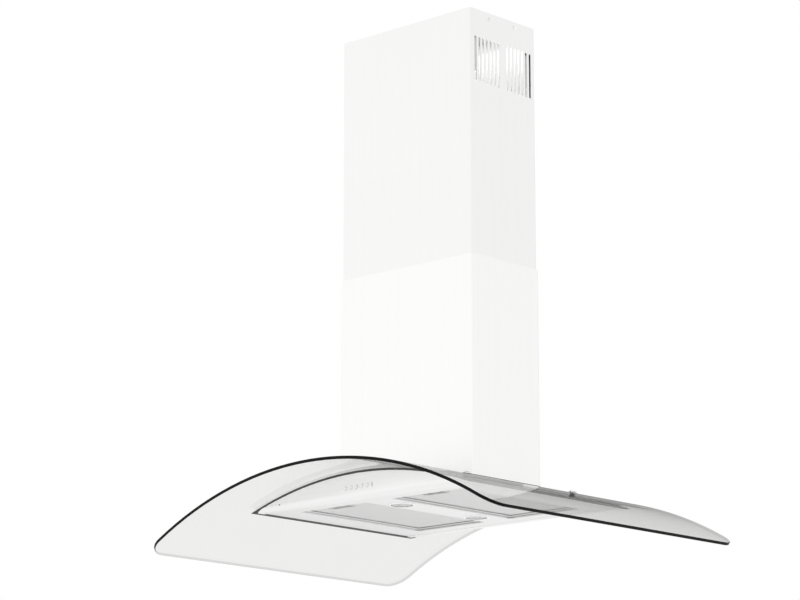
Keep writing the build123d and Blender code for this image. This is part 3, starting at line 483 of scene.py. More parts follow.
@dataclass(frozen=True)
class Polished(Finish):
    """Chrome or polished steel with faint smudges.

    Attributes:
        smudge_tone: Factor on the tone in a smudge.
        smudge_span: Noise between which the tone turns to a smudge's.
        dull_span: Noise between which a smudge dulls the polish.
    """

    roughness: float = 0.09
    smudge_scale: float = 60.0
    smudge_tone: float = 0.93
    smudge_span: Pair = (0.35, 0.75)
    dull_span: Pair = (0.45, 0.8)
    dull_roughness: float = 0.10
    relief: float = 0.03
    depth: float = 0.0005

    def shade(self, shader: Shader) -> None:
        """Builds the material's nodes.

        Args:
            shader: The material's tree.
        """
        smudge = shader.noise(self.smudge_scale, detail=4.0)
        smudged = self.lighter(self.smudge_tone)
        shader.paint(
            Base_Color=shader.blend(smudge.step(*self.smudge_span), self.tone, smudged),
            Metallic=1.0,
            Roughness=self.roughness + self.dull_roughness * smudge.step(*self.dull_span),
            Normal=shader.bump(smudge, self.relief, self.depth),
        )


@dataclass(frozen=True)
class Grained(Finish):
    """Moulded plastic, rubber or paint with a fine grain.

    Attributes:
        relief: Share of the grain's depth that shows.
        coat: Gloss of a clear coat over it.
        tone_range: Factors on the tone for its darkest and lightest clouds.
    """

    roughness: float = 0.5
    relief: float = 0.25
    coat: float = 0.0
    grain_scale: float = 2200.0
    grain_depth: float = 0.0002
    cloud_scale: float = 25.0
    tone_range: Pair = (0.88, 1.12)
    cloud_roughness: float = 0.12

    def shade(self, shader: Shader) -> None:
        """Builds the material's nodes.

        Args:
            shader: The material's tree.
        """
        grain = shader.noise(self.grain_scale)
        cloud = shader.noise(self.cloud_scale, detail=3.0)
        shader.paint(
            Base_Color=shader.blend(cloud, *map(self.lighter, self.tone_range)),
            Roughness=self.roughness + self.cloud_roughness * (cloud - NOISE_MEAN),
            Coat_Weight=self.coat,
            Normal=shader.bump(grain, self.relief, self.grain_depth),
        )


@dataclass(frozen=True)
class CurvedGlassFinish(Finish):
    """Toughened sheet glass: clear across, dark along the sheet; its edge faces and a thin band
    beside them are painted near-black as shade, for the dark look of a glass edge.

    Attributes:
        arch_z: Height of the arch's axis.
        edge: Width of the band of painted edge shade on the sheet's faces.
        edge_start: Edge widths from the border at which the painted shade begins.
        edge_full: Edge widths from the border at which it is full.
        inner_edge: Share of the painted shade that shows from inside the sheet, as on the far
            sides.
        depth_tone: Colour that light keeps on its way along the sheet.
        density: How fast it takes that colour.
        gloss: Weight of the gloss on the faces.
        dull_share: Part of the gloss that a smudge takes away.
    """

    arch_z: float = -1.757
    radius: float = 0.845
    half_width: float = 0.45
    half_depth: float = 0.36
    corner: float = 0.04
    edge: float = 0.0011
    edge_start: float = 1.25
    edge_full: float = 0.75
    inner_edge: float = 0.2
    # Near-black colour of the painted edge shade.
    edge_shade_tone: Colour = (0.002, 0.002, 0.002)
    edge_roughness: float = 0.3
    edge_specular: float = 0.12
    inner_ior: float = 1.0005
    depth_tone: Colour = (0.500, 0.508, 0.495)
    density: float = 3.5
    gloss: float = 0.6
    gloss_roughness: float = 0.012
    gloss_ior: float = 1.5
    smudge_scale: float = 7.0
    smudge_tone: float = 0.99
    smudge_span: Pair = (0.3, 0.9)
    dull_share: float = 0.06
    dull_span: Pair = (0.5, 0.8)

    def shade(self, shader: Shader) -> None:
        """Builds the material's nodes.

        Args:
            shader: The material's tree.
        """
        inside = shader.term("ShaderNodeNewGeometry", output="Backfacing")
        # Painted edge shade, fainter where the edge is seen from inside the sheet.
        edge_shade_share = self._edge_shade_mask(shader) * (1.0 - (1.0 - self.inner_edge) * inside)
        smudge = shader.noise(self.smudge_scale, detail=4.0)
        smudged = self.lighter(self.smudge_tone)
        clear = shader.principled(
            Base_Color=shader.blend(smudge.step(*self.smudge_span), self.tone, smudged),
            Roughness=0.0,
            IOR=self.inner_ior,
            Transmission_Weight=1.0,
            Coat_Weight=self.gloss * (1.0 - self.dull_share * smudge.step(*self.dull_span)),
            Coat_Roughness=self.gloss_roughness,
            Coat_IOR=self.gloss_ior,
        )
        # Painted shade: the edge is coloured near-black for the dark look of a clear sheet's edge.
        painted_edge_shade = shader.principled(
            Base_Color=self.edge_shade_tone,
            Roughness=self.edge_roughness,
            Specular_IOR_Level=self.edge_specular,
        )
        output = shader.surface(shader.mix(edge_shade_share, clear, painted_edge_shade))
        depth = shader.node(
            "ShaderNodeVolumeAbsorption",
            inputs={"Color": self.depth_tone, "Density": self.density},
        ).outputs[0]
        shader.feed(output.inputs["Volume"], depth)

    def _edge_shade_mask(self, shader: Shader) -> Term:
        """Finds the band that is painted black as edge shade, by its distance from the border,
        along the arch.

        Args:
            shader: The material's tree.

        Returns:
            1 on the edge, 0 on the faces.
        """
        x, y, z = shader.split(shader.place)
        half_arc = self.radius * math.asin(self.half_width / self.radius)
        across = abs(x.bearing(z - self.arch_z) * self.radius) - (half_arc - self.corner)
        along = abs(y) - (self.half_depth - self.corner)
        outer_x = across.higher(0.0)
        outer_y = along.higher(0.0)
        reach = (outer_x * outer_x + outer_y * outer_y).root()
        distance = reach + across.higher(along).lower(0.0) - self.corner
        return distance.step(-self.edge_start * self.edge, -self.edge_full * self.edge)


@dataclass(frozen=True)
class LensGlass(Finish):
    """Frosted lamp glass with fine pressed rings round each lamp."""

    lamp_y: float = LAMP_Y
    ring_pitch: float = 0.0022
    ring_relief: float = 0.15
    ring_depth: float = 0.0004
    ior: float = 1.2
    roughness: float = 0.06
    frost_scale: float = 900.0
    frost_tone: float = 0.97
    frost_roughness: float = 0.08

    def shade(self, shader: Shader) -> None:
        """Builds the material's nodes.

        Args:
            shader: The material's tree.
        """
        x, y, _ = shader.split(shader.place)
        away = abs(y) - self.lamp_y
        radius = (x * x + away * away).root()
        rings = (radius * (2 * math.pi / self.ring_pitch)).wave()
        frost = shader.noise(self.frost_scale)
        shader.paint(
            Base_Color=shader.blend(frost, self.tone, self.lighter(self.frost_tone)),
            Roughness=self.roughness + self.frost_roughness * frost,
            IOR=self.ior,
            Transmission_Weight=1.0,
            Normal=shader.bump(rings, self.ring_relief, self.ring_depth),
        )


@dataclass(frozen=True)
class CircuitBoard(Finish):
    """Lacquered board with its tracks just showing."""

    cell_scale: float = 160.0
    track_span: Pair = (0.38, 0.42)
    track_tone: float = 1.8
    roughness: float = 0.35
    track_roughness: float = 0.1
    relief: float = 0.2
    depth: float = 0.0002

    def shade(self, shader: Shader) -> None:
        """Builds the material's nodes.

        Args:
            shader: The material's tree.
        """
        cells = shader.term(
            "ShaderNodeTexVoronoi",
            {"distance": "MANHATTAN"},
            {"Vector": shader.place, "Scale": self.cell_scale},
        )
        tracks = cells.step(*self.track_span)
        shader.paint(
            Base_Color=shader.blend(tracks, self.tone, self.lighter(self.track_tone)),
            Roughness=self.roughness + self.track_roughness * tracks,
            Normal=shader.bump(tracks, self.relief, self.depth),
        )


@dataclass(frozen=True)
class PaleFloor(Finish):
    """Matt floor that metal and glass show as the pale background, clear from below."""

    roughness: float = 0.85
    cloud_scale: float = 3.0
    tone_range: Pair = (0.985, 1.015)
    mirrored_strength: float = 0.95

    def shade(self, shader: Shader) -> None:
        """Builds the material's nodes.

        Args:
            shader: The material's tree.
        """
        cloud = shader.noise(self.cloud_scale, detail=3.0)
        matt = shader.principled(
            Base_Color=shader.blend(cloud, *map(self.lighter, self.tone_range)),
            Roughness=self.roughness,
        )
        background = shader.node(
            "ShaderNodeEmission", inputs={"Color": WHITE, "Strength": self.mirrored_strength}
        ).outputs[0]
        path = shader.node("ShaderNodeLightPath")
        mirrored = Term(shader, path.outputs["Is Glossy Ray"])
        behind = mirrored.higher(Term(shader, path.outputs["Is Transmission Ray"]))
        below = shader.node("ShaderNodeNewGeometry").outputs["Backfacing"]
        clear = shader.node("ShaderNodeBsdfTransparent").outputs[0]
        shader.surface(shader.mix(below, shader.mix(behind, matt, background), clear))


FINISHES: dict[str, Finish] = {
    finish.name: finish
    for finish in (
        BrushedMetal("chimney_steel", (0.945, 0.945, 0.94), Grain.UPRIGHT, 0.34),
        # Lighter copy of chimney_steel: painted light.
        BrushedMetal("lit_chimney_steel", (0.985, 0.985, 0.98), Grain.UPRIGHT, 0.34),
        BrushedMetal("body_steel", (0.945, 0.945, 0.94), Grain.ACROSS, 0.30),
        # Lighter copy of body_steel for the fascias: painted light.
        BrushedMetal("lit_fascia_steel", (0.99, 0.99, 0.985), Grain.ACROSS, 0.30),
        BrushedMetal("button_steel", (0.94, 0.94, 0.935), Grain.ACROSS, 0.26),
        BrushedMetal("filter_aluminium", (0.80, 0.80, 0.795), Grain.ALONG, 0.36),
        BrushedMetal(
            "filter_mesh", (0.95, 0.95, 0.945), Grain.ROUND, 0.38, lines=400.0, relief=0.0
        ),
        Galvanised("galvanised", (0.76, 0.77, 0.78)),
        Galvanised("impeller_metal", (0.62, 0.64, 0.66)),
        Polished("latch_steel", (0.78, 0.78, 0.78), roughness=0.14),
        Polished("lamp_chrome", (0.95, 0.95, 0.95)),
        Polished("fastener_steel", (0.70, 0.71, 0.72), roughness=0.16),
        CurvedGlassFinish("curved_glass", (0.87, 0.872, 0.865)),
        LensGlass("lamp_glass", (0.97, 0.97, 0.965)),
        Grained("indicator_window", (0.85, 0.85, 0.86), roughness=0.12, relief=0.02, coat=0.6),
        Grained("black_rubber", (0.10, 0.10, 0.10), roughness=0.7),
        Grained("black_plastic", (0.028, 0.028, 0.03), roughness=0.48),
        Grained("grey_plastic", (0.42, 0.43, 0.44)),
        Grained("motor_black", (0.03, 0.03, 0.035), roughness=0.35, coat=0.3),
        CircuitBoard("circuit_board", (0.03, 0.17, 0.08)),
    )
}

# Nodes whose finish isn't that of their material slot.
OWN_FINISHES: dict[str, str] = {
    # The fascias take a lighter copy of the body steel: painted light, so they look lit under the
    # glass's overhang.
    "front_fascia": "lit_fascia_steel",
    "rear_fascia": "lit_fascia_steel",
    # The lower sleeve takes a lighter copy of the chimney steel, and the upper uprights take it
    # too so they look lit through the vent slots: painted light.
    "lower_sleeve": "lit_chimney_steel",
    "upper_uprights": "lit_chimney_steel",
    "sleeve_screws": "lamp_chrome",
    "glass_screws": "lamp_chrome",
    "left_latch_cup": "body_steel",
    "right_latch_cup": "body_steel",
}


def dress_frame() -> None:
    """Gives each node of the frame its finish: its own, or that of its material slot."""
    slots = {part["node"]: part["material_slot"] for part in frame["record"]["subparts"]}
    slots.update(OWN_FINISHES)
    for name, node in frame["nodes"].items():
        material = FINISHES[slots[name]].material()
        for place in node.material_slots:
            place.material = material
        log.info("%s is dressed in %s", name, slots[name])


def finish_piece(
    piece: bpy.types.Object, body: str, slot: str, replaced: Sequence[str] = ()
) -> None:
    """Gives a new piece its body and the finish of a material slot, and hides the nodes that it
    stands for.

    Args:
        piece: The piece, with its place in its mesh.
        body: Body that it rides on.
        slot: Material slot whose finish it takes.
        replaced: Nodes that it stands for.
    """
    piece.data.materials.clear()
    piece.data.materials.append(FINISHES[slot].material())
    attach(piece, body)
    if replaced:
        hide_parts(*replaced)
    log.info("%s rides on %s", piece.name, body)


def put_in_scene(name: str, data: bpy.types.ID) -> bpy.types.Object:
    """Makes an object of a mesh, a light or a camera and links it to the scene.

    Args:
        name: The object's name.
        data: What the object shows.

    Returns:
        The object.
    """
    made = bpy.data.objects.new(name, data)
    bpy.context.scene.collection.objects.link(made)
    return made


# --- Patterns made by geometry nodes ---


class Pattern(NodeTree):
    """Geometry tree with named inputs, whose result becomes a plain mesh."""

    SOCKET_KINDS = {int: "NodeSocketInt", float: "NodeSocketFloat", tuple: "NodeSocketVector"}

    def __init__(self, name: str) -> None:
        """Starts the tree.

        Args:
            name: The tree's name.
        """
        super().__init__(bpy.data.node_groups.new(name, "GeometryNodeTree"))
        self.values: dict[str, Any] = {}
        sockets = self.tree.interface
        for side in ("INPUT", "OUTPUT"):
            sockets.new_socket("Geometry", in_out=side, socket_type="NodeSocketGeometry")
        self.group = self.node("NodeGroupInput")

    def size(self, name: str, value: float | int | Point) -> Term:
        """Adds a named input.

        Args:
            name: The input's name.
            value: What it is set to on the modifier.

        Returns:
            The input as a term.
        """
        socket = self.tree.interface.new_socket(
            name, in_out="INPUT", socket_type=self.SOCKET_KINDS[type(value)]
        )
        self.values[socket.identifier] = value
        return Term(self, self.group.outputs[name])

    def vector(self, x: Any = 0.0, y: Any = 0.0, z: Any = 0.0) -> Term:
        """Three numbers as a vector."""
        return self.term("ShaderNodeCombineXYZ", inputs={0: x, 1: y, 2: z})

    def below(self, first: Term, second: Term) -> Term:
        """Whether the first number is under the second."""
        return self.term("FunctionNodeCompare", {"operation": "LESS_THAN"}, {0: first, 1: second})

    def make(
        self, name: str, geometry: Term, slot: str, points: Sequence[Point] = ((0.0, 0.0, 0.0),)
    ) -> bpy.types.Object:
        """Ends the tree, runs it and keeps its result as a plain mesh.

        Args:
            name: The piece's name.
            geometry: What the tree has made.
            slot: Material slot whose finish the piece takes.
            points: Vertices that the tree starts from.

        Returns:
            The piece, without the modifier.
        """
        material = FINISHES[slot].material()
        real = self.term("GeometryNodeRealizeInstances", inputs={0: geometry})
        dressed = self.term("GeometryNodeSetMaterial", inputs={0: real, "Material": material})
        self.node("NodeGroupOutput", inputs={0: dressed})
        start = bpy.data.meshes.new(f"{name}_start")
        start.from_pydata(points, [], [])
        host = put_in_scene(f"{name}_start", start)
        modifier = host.modifiers.new("pattern", "NODES")
        modifier.node_group = self.tree
        for identifier, value in self.values.items():
            modifier[identifier] = value
        evaluated = host.evaluated_get(bpy.context.evaluated_depsgraph_get())
        mesh = bpy.data.meshes.new_from_object(evaluated)
        mesh.name = name
        host.modifiers.clear()
        bpy.data.objects.remove(host)
        return put_in_scene(name, mesh)


class Facing(Enum):
    """Axis that a rivet or dot faces along, as its place in a vector."""

    ALONG_Y = 1
    UPRIGHT = 2


@dataclass
class RivetRow:
    """Flat rivets or dots in a sheet, all on one body and facing along one axis."""

    name: str
    body: str
    places: Sequence[Point]
    radius: float = 0.0022
    height: float = 0.0006
    slot: str = "fastener_steel"
    facing: Facing = Facing.UPRIGHT
    segments: int = 20
    rings: int = 10

    def build(self) -> None:
        """Makes the rivets."""
        tree = Pattern(self.name)
        radius = tree.size("Radius", self.radius)
        height = tree.size("Height", self.height)
        ball = tree.term(
            "GeometryNodeMeshUVSphere",
            inputs={"Segments": self.segments, "Rings": self.rings, "Radius": radius},
        )
        squash = [1.0, 1.0, 1.0]
        squash[self.facing.value] = height / radius
        flat = tree.term(
            "GeometryNodeTransform", inputs={0: ball, "Scale": tree.vector(*squash)}
        )
        smooth = tree.term("GeometryNodeSetShadeSmooth", inputs={0: flat})
        points = tree.group.outputs["Geometry"]
        placed = tree.term(
            "GeometryNodeInstanceOnPoints", inputs={"Points": points, "Instance": smooth}
        )
        piece = tree.make(self.name, placed, self.slot, self.places)
        finish_piece(piece, self.body, self.slot)


# --- Shapes made in mesh code ---


def keep_shape(name: str, shape: bmesh.types.BMesh, smooth: bool) -> bpy.types.Object:
    """Turns a shape into a piece.

    Args:
        name: The piece's name.
        shape: The shape, which is freed.
        smooth: Whether its faces are shaded smooth.

    Returns:
        The piece.
    """
    mesh = bpy.data.meshes.new(name)
    shape.to_mesh(mesh)
    shape.free()
    for polygon in mesh.polygons:
        polygon.use_smooth = smooth
    return put_in_scene(name, mesh)


def lathe(name: str, profile: Sequence[Pair], centre: Point, segments: int) -> bpy.types.Object:
    """Turned piece on an upright axis.

    Args:
        name: The piece's name.
        profile: Radius and height of each point of a closed outline, from the axis round.
        centre: Point on the axis at height 0.
        segments: Steps round the axis.

    Returns:
        The piece, with its faces outwards.
    """
    shape = bmesh.new()
    middle_x, middle_y, base_z = centre
    rings = []
    for radius, height in profile:
        z = base_z + height
        if radius < ON_AXIS:
            rings.append([shape.verts.new((middle_x, middle_y, z))])
            continue
        ring = []
        for step in range(segments):
            angle = 2 * math.pi * step / segments
            x = middle_x + radius * math.cos(angle)
            y = middle_y + radius * math.sin(angle)
            ring.append(shape.verts.new((x, y, z)))
        rings.append(ring)
    for first, second in zip(rings, rings[1:]):
        for step in range(segments):
            after = (step + 1) % segments
            corners = [
                first[step % len(first)],
                first[after % len(first)],
                second[after % len(second)],
                second[step % len(second)],
            ]
            shape.faces.new(list(dict.fromkeys(corners)))
    bmesh.ops.recalc_face_normals(shape, faces=shape.faces)
    return keep_shape(name, shape, smooth=True)


def slab(name: str, outline: Sequence[Pair], low_z: float, high_z: float) -> bpy.types.Object:
    """Flat plate with upright sides.

    Args:
        name: The piece's name.
        outline: Its corners seen from above, anticlockwise.
        low_z: Underside.
        high_z: Upper face.

    Returns:
        The piece.
    """
    shape = bmesh.new()
    under = [shape.verts.new((x, y, low_z)) for x, y in outline]
    upper = [shape.verts.new((x, y, high_z)) for x, y in outline]
    shape.faces.new(list(reversed(under)))
    shape.faces.new(upper)
    count = len(outline)
    for place in range(count):
        after = (place + 1) % count
        shape.faces.new([under[place], under[after], upper[after], upper[place]])
    return keep_shape(name, shape, smooth=False)


# --- Grease filters, lamps and plugs ---


@dataclass(frozen=True)
class CupPocket:
    """Gap that a filter's pad leaves for the latch cup, in the middle of its front edge."""

    half_width: float = 0.0305
    reach: float = 0.0345


@dataclass
class ExpandedMesh:
    """Lower layer of a filter's pad: aluminium sheet that is slit and stretched.

    Attributes:
        link_width: Distance from one strand to the next.
        link_length: Length of one diamond along a strand.
        strand_swing: Share of the link's width that a strand swings through.
        seat: Height of the strands above the underside of the pad's room.
    """

    side: str
    link_width: float = 0.0029
    link_length: float = 0.0052
    strand_width: float = 0.0019
    strand_thickness: float = 0.0002
    strand_swing: float = 0.84
    seat: float = 0.0006
    pocket: CupPocket = CupPocket()

    def build(self) -> None:
        """Makes the sheet in the room of its node."""
        node = f"{self.side}_filter_mesh"
        low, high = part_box(node)
        strands = int((high.x - low.x - self.link_width) / self.link_width)
        half_links = int((high.y - low.y) / (self.link_length / 2)) - 1
        middle_x = (low.x + high.x) / 2
        start_x = middle_x - (strands - 1) * self.link_width / 2
        start_y = (low.y + high.y) / 2 - half_links * self.link_length / 4

        tree = Pattern(f"expanded_mesh_{self.side}")
        corner = tree.size("First Corner", (start_x, start_y, low.z + self.seat))
        lines = self._lines(tree, strands, half_links + 1)
        placed = tree.term("GeometryNodeTransform", inputs={0: lines, "Translation": corner})
        cut = self._cut(tree, placed, middle_x, low.y + self.pocket.reach)
        strips = self._strips(tree, cut)
        piece = tree.make(f"{self.side}_expanded_mesh", strips, "filter_mesh")
        finish_piece(piece, f"{self.side}_filter", "filter_mesh", [node])

    def _lines(self, tree: Pattern, strands: int, points: int) -> Term:
        """Lays the strands' zigzag lines side by side, every second one mirrored.

        Args:
            tree: The tree to build in.
            strands: Number of strands.
            points: Points along a strand.

        Returns:
            The lines, from the origin on.
        """
        width = tree.size("Link Width", self.link_width)
        half_link = tree.size("Half Link Length", self.link_length / 2)
        swing = tree.size("Strand Swing", self.strand_swing)
        strand_count = tree.size("Strands", strands)
        point_count = tree.size("Strand Points", points)
        odd = tree.term("GeometryNodeInputIndex") % 2.0
        line = tree.term(
            "GeometryNodeMeshLine",
            inputs={"Count": point_count, "Offset": tree.vector(y=half_link)},
        )
        zigzag = tree.term(
            "GeometryNodeSetPosition",
            inputs={0: line, "Offset": tree.vector(x=(odd - 0.5) * width * swing)},
        )
        rows = tree.term(
            "GeometryNodeMeshLine",
            inputs={"Count": strand_count, "Offset": tree.vector(x=width)},
        )
        mirrored = tree.vector(1.0 - 2.0 * odd, 1.0, 1.0)
        strands_on = tree.term(
            "GeometryNodeInstanceOnPoints",
            inputs={"Points": rows, "Instance": zigzag, "Scale": mirrored},
        )
        return tree.term("GeometryNodeRealizeInstances", inputs={0: strands_on})

    def _cut(self, tree: Pattern, lines: Term, middle_x: float, rear_y: float) -> Term:
        """Takes the lines out of the pocket round the latch cup.

        Args:
            tree: The tree to build in.
            lines: The strands' lines, in their place.
            middle_x: Middle of the pocket.
            rear_y: Rear edge of the pocket.

        Returns:
            The lines that stay.
        """
        pocket_x = tree.size("Pocket Middle", middle_x)
        pocket_y = tree.size("Pocket Rear Edge", rear_y)
        pocket_half = tree.size("Pocket Half Width", self.pocket.half_width)
        x, y, _ = tree.split(tree.term("GeometryNodeInputPosition"))
        in_width = tree.below(abs(x - pocket_x), pocket_half)
        in_reach = tree.below(y, pocket_y)
        in_pocket = tree.term(
            "FunctionNodeBooleanMath", {"operation": "AND"}, {0: in_width, 1: in_reach}
        )
        return tree.term("GeometryNodeDeleteGeometry", inputs={0: lines, 1: in_pocket})

    def _strips(self, tree: Pattern, lines: Term) -> Term:
        """Gives the lines the flat section of the slit sheet.

        Args:
            tree: The tree to build in.
            lines: The strands' lines.

        Returns:
            The strands.
        """
        width = tree.size("Strand Width", self.strand_width)
        thickness = tree.size("Strand Thickness", self.strand_thickness)
        section = tree.term(
            "GeometryNodeCurvePrimitiveQuadrilateral",
            inputs={"Width": width, "Height": thickness},
        )
        curves = tree.term("GeometryNodeMeshToCurve", inputs={0: lines})
        return tree.term(
            "GeometryNodeCurveToMesh", inputs={0: curves, 1: section, "Fill Caps": True}
        )


@dataclass
class FilterCore:
    """Dense layer of a filter's pad, above its expanded mesh."""

    side: str
    bottom: float = 0.0006
    pocket: CupPocket = CupPocket()

    def build(self) -> None:
        """Makes the layer, cut out round the latch cup."""
        low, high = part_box(f"{self.side}_filter_mesh")
        middle = (low.x + high.x) / 2
        left = middle - self.pocket.half_width
        right = middle + self.pocket.half_width
        back = low.y + self.pocket.reach
        pocket = [(left, low.y), (left, back), (right, back), (right, low.y)]
        outline = [(low.x, low.y), *pocket, (high.x, low.y), (high.x, high.y), (low.x, high.y)]
        piece = slab(f"{self.side}_filter_core", outline, low.z + self.bottom, high.z)
        finish_piece(piece, f"{self.side}_filter", "filter_mesh")


@dataclass
class Filters:
    """Both grease filters with their pads and the rivets of their frames.

    Attributes:
        frame_reach: How far a frame's sides reach past its pad.
        rivet_inset: Distance of the rivets from the frame's outer edges.
        rivets_along: Rivets on each side of a frame.
    """

    frame_reach: float = 0.0012
    rivet_inset: float = 0.0045
    rivets_along: int = 4

    def build(self) -> None:
        """Makes the pieces of both filters."""
        for side in ("left", "right"):
            ExpandedMesh(side).build()
            FilterCore(side).build()
            self._rivets(side)

    def _rivets(self, side: str) -> None:
        """Makes the rivets of one filter's frame.

        Args:
            side: The filter's side.
        """
        low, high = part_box(f"{side}_filter_frame")
        mesh_low, mesh_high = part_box(f"{side}_filter_mesh")
        rows = (
            mesh_low.x - self.frame_reach + self.rivet_inset,
            mesh_high.x + self.frame_reach - self.rivet_inset,
        )
        span = high.y - low.y - 2 * self.rivet_inset
        places = [
            (x, low.y + self.rivet_inset + span * step / (self.rivets_along - 1), low.z)
            for x in rows
            for step in range(self.rivets_along)
        ]
        RivetRow(f"{side}_filter_rivets", f"{side}_filter", places).build()


@dataclass
class LampInsert:
    """Reflector bowl and light chip behind the lens of one lamp.

    Attributes:
        rim_z: Height of the bowl's lower rim.
        bowl_curve: Points of the bowl's section, as shares of its rim radius and its depth.
        chip_face: Radius of the chip's lit face, as a share of chip_radius.
        chip_body: Radius of its body, which clears the bowl, as a share of chip_radius.
    """

    end: str
    centre_y: float
    rim_z: float = -0.9640
    rim_radius: float = 0.0205
    bowl_depth: float = 0.0085
    bowl_curve: tuple[Pair, ...] = ((0.45, 0.93), (0.70, 0.72), (0.88, 0.40), (1.0, 0.0))
    bowl_facets: int = 36
    wall: float = 0.0008
    chip_radius: float = 0.006
    chip_face: float = 0.8
    chip_body: float = 0.96
    chip_facets: int = 24

    def build(self) -> None:
        """Makes the bowl and the chip."""
        finish_piece(self._bowl(), "canopy", "lamp_chrome")
        finish_piece(self._chip(), "canopy", "grey_plastic")

    def _bowl(self) -> bpy.types.Object:
        """Turns the reflector.

        Returns:
            The bowl.
        """
        inner = [(self.chip_radius, self.bowl_depth)]
        inner += [(out * self.rim_radius, up * self.bowl_depth) for out, up in self.bowl_curve]
        outer = [(radius, height + self.wall) for radius, height in reversed(inner)]
        profile = [*inner, *outer, inner[0]]
        centre = (0.0, self.centre_y, self.rim_z)
        return lathe(f"{self.end}_lamp_reflector", profile, centre, self.bowl_facets)

    def _chip(self) -> bpy.types.Object:
        """Turns the light chip.

        Returns:
            The chip.
        """
        low = self.bowl_depth - self.wall
        body = self.chip_body * self.chip_radius
        profile = [
            (0.0, low),
            (self.chip_face * self.chip_radius, low),
            (body, low + self.wall),
            (body, low + 2 * self.wall),
            (0.0, low + 2 * self.wall),
        ]
        centre = (0.0, self.centre_y, self.rim_z)
        return lathe(f"{self.end}_lamp_chip", profile, centre, self.chip_facets)


@dataclass
class FasciaCornerDots:
    """Small flat black disc at the lower left end of each fascia, in the corner of its recess,
    seen from its own side.
    """

    side_x: float = 0.2112
    face_y: float = 0.2299
    centre_z: float = -0.9612
    radius: float = 0.0014

    def build(self) -> None:
        """Makes the dots of both fascias."""
        for end, hand in (("front", -1), ("rear", 1)):
            RivetRow(
                name=f"{end}_fascia_corner_dot",
                body="canopy",
                places=[(hand * self.side_x, hand * self.face_y, self.centre_z)],
                radius=self.radius,
                slot="black_plastic",
                facing=Facing.ALONG_Y,
            ).build()


# --- Stage, lights and camera ---


@dataclass(frozen=True)
class SoftLamp:
    """Oblong lamp that faces a point, unseen by the camera and in glass.

    Attributes:
        place: Where it hangs.
        power: Its power in watts.
        sides: Its width and depth.
        target: Point that it faces; the hood's middle, unless another is given.
        mirrored: Whether metal shows it.
    """

    name: str
    place: Point
    power: float
    sides: Pair
    target: Point = (0.0, 0.0, -0.6)
    mirrored: bool = False

    def hang(self) -> None:
        """Hangs the lamp."""
        light = bpy.data.lights.new(self.name, "AREA")
        light.shape = "RECTANGLE"
        light.size, light.size_y = self.sides
        light.energy = self.power
        lamp = put_in_scene(self.name, light)
        lamp.visible_glossy = self.mirrored
        lamp.visible_transmission = False
        lamp.visible_camera = False
        lamp.location = self.place
        aim = Vector(self.target) - Vector(self.place)
        lamp.rotation_euler = aim.to_track_quat("-Z", "Y").to_euler()


CHIMNEY_TOP: Point = (0.0, 0.0, -0.02)
CHIMNEY_MIDDLE: Point = (0.0, 0.0, -0.30)
CHIMNEY_LAMP: Pair = (0.32, 0.17)
LAMPS = (
    SoftLamp("front_softbox", (-1.2, -3.4, 0.6), 30.0, (2.4, 2.4)),
    SoftLamp("side_softbox", (3.6, 0.9, 0.2), 20.0, (2.2, 2.2)),
    SoftLamp("rear_softbox", (-2.4, 3.0, 0.4), 20.0, (2.4, 2.4)),
    SoftLamp("chimney_light_down", CHIMNEY_TOP, 0.11, CHIMNEY_LAMP, CHIMNEY_MIDDLE, True),
    SoftLamp("chimney_light_up", CHIMNEY_MIDDLE, 0.40, CHIMNEY_LAMP, CHIMNEY_TOP, True),
)


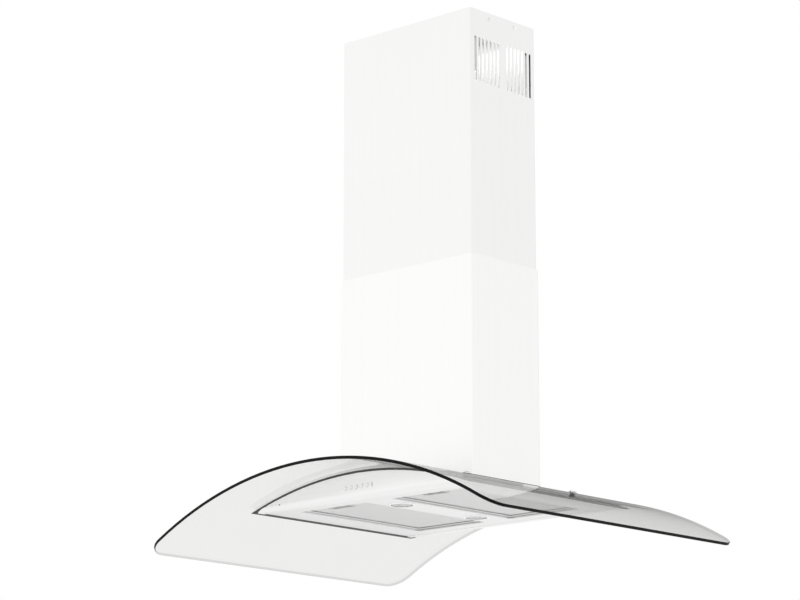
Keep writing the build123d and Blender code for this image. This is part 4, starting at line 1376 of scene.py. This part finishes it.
@dataclass
class Studio:
    """Pale floor, white surroundings, soft lamps and the camera.

    Attributes:
        fill_strength: Strength of the surroundings as light.
        mirrored_strength: Their strength in metal and gloss.
        overhead_start: Heights between which metal shows them darker, by overhead_fall.
        side_start: Places along Y between which it shows them darker, by side_fall.
        flag_height: Heights between which the dark flag starts; it gives the glass its grey.
        flag_side: Places towards -X between which the flag starts.
        flag_rear: Places along Y between which it starts.
        view_reach: How far the camera sees.
    """

    floor_z: float = -2.45
    floor_half: float = 30.0
    floor_tone: Colour = (0.86, 0.86, 0.855)
    fill_strength: float = 0.62
    mirrored_strength: float = 1.04
    overhead_start: Pair = (0.42, 0.75)
    overhead_fall: float = 0.5
    side_start: Pair = (-0.4, 0.5)
    side_fall: float = 0.065
    flag_height: Pair = (0.02, 0.12)
    flag_side: Pair = (0.0, 0.35)
    flag_rear: Pair = (0.3, 0.6)
    flag_fall: float = 0.85
    camera_place: Point = (3.77258, -4.16077, -1.8465)
    camera_yaw: float = 42.988
    camera_pitch: float = 13.026
    focal_length: float = 130.88
    sensor_width: float = 36.0
    view_reach: float = 50.0

    def build(self) -> None:
        """Sets the stage, the lamps and the camera."""
        self._floor()
        self._surroundings()
        for lamp in LAMPS:
            lamp.hang()
            log.info("%s hangs", lamp.name)
        self._camera()
        bpy.context.scene.view_settings.view_transform = "Standard"

    def _floor(self) -> None:
        """Lays the floor."""
        half = self.floor_half
        mesh = bpy.data.meshes.new("floor")
        corners = [(-half, -half), (half, -half), (half, half), (-half, half)]
        mesh.from_pydata([(x, y, self.floor_z) for x, y in corners], [], [(0, 1, 2, 3)])
        mesh.materials.append(PaleFloor("pale_floor", self.floor_tone).material())
        floor = put_in_scene("floor", mesh)

    def _surroundings(self) -> None:
        """Makes the world white to the camera and the glass, uneven to metal, softer as light."""
        world = bpy.data.worlds.new("white_room")
        bpy.context.scene.world = world
        world.use_nodes = True
        graph = NodeTree(world.node_tree)
        graph.tree.nodes.clear()
        path = graph.node("ShaderNodeLightPath")
        seen = Term(graph, path.outputs["Is Camera Ray"])
        mirrored = Term(graph, path.outputs["Is Glossy Ray"])
        through = Term(graph, path.outputs["Is Transmission Ray"])
        direction = graph.node("ShaderNodeTexCoord").outputs["Generated"]
        aside, rear, height = graph.split(direction)
        overhead = 1.0 - self.overhead_fall * height.step(*self.overhead_start)
        overhead = overhead * (1.0 - self.side_fall * rear.step(*self.side_start))
        flag = height.step(*self.flag_height) * (0.0 - aside).step(*self.flag_side)
        flag = flag * rear.step(*self.flag_rear)
        overhead = overhead * (1.0 - self.flag_fall * flag) * self.mirrored_strength
        mirrored = mirrored * (1.0 - through) * (1.0 - seen)
        white = seen.higher(through).higher(mirrored)
        strength = self.fill_strength + (1.0 - self.fill_strength) * white
        strength = strength * (1.0 - mirrored) + strength * mirrored * overhead
        shader = graph.node(
            "ShaderNodeBackground", inputs={"Color": WHITE, "Strength": strength}
        )
        graph.node("ShaderNodeOutputWorld", inputs={"Surface": shader.outputs[0]})

    def _camera(self) -> None:
        """Places the camera at the photograph's angle."""
        data = bpy.data.cameras.new("camera")
        data.sensor_width = self.sensor_width
        data.lens = self.focal_length
        data.clip_end = self.view_reach
        camera = put_in_scene("camera", data)
        camera.location = self.camera_place
        turn = (90.0 + self.camera_pitch, 0.0, self.camera_yaw)
        camera.rotation_euler = Euler([math.radians(angle) for angle in turn])
        bpy.context.scene.camera = camera


def write_sizes() -> None:
    log.info("boxes written")


def main() -> None:
    """Builds the hood's looks in order."""
    logging.basicConfig(level=logging.INFO, format="%(name)s: %(message)s")
    dress_frame()
    Filters().build()
    for end, centre_y in (("front", -LAMP_Y), ("rear", LAMP_Y)):
        LampInsert(end, centre_y).build()
    FasciaCornerDots().build()
    Studio().build()
    write_sizes()


if __name__ == "__main__":
    main()
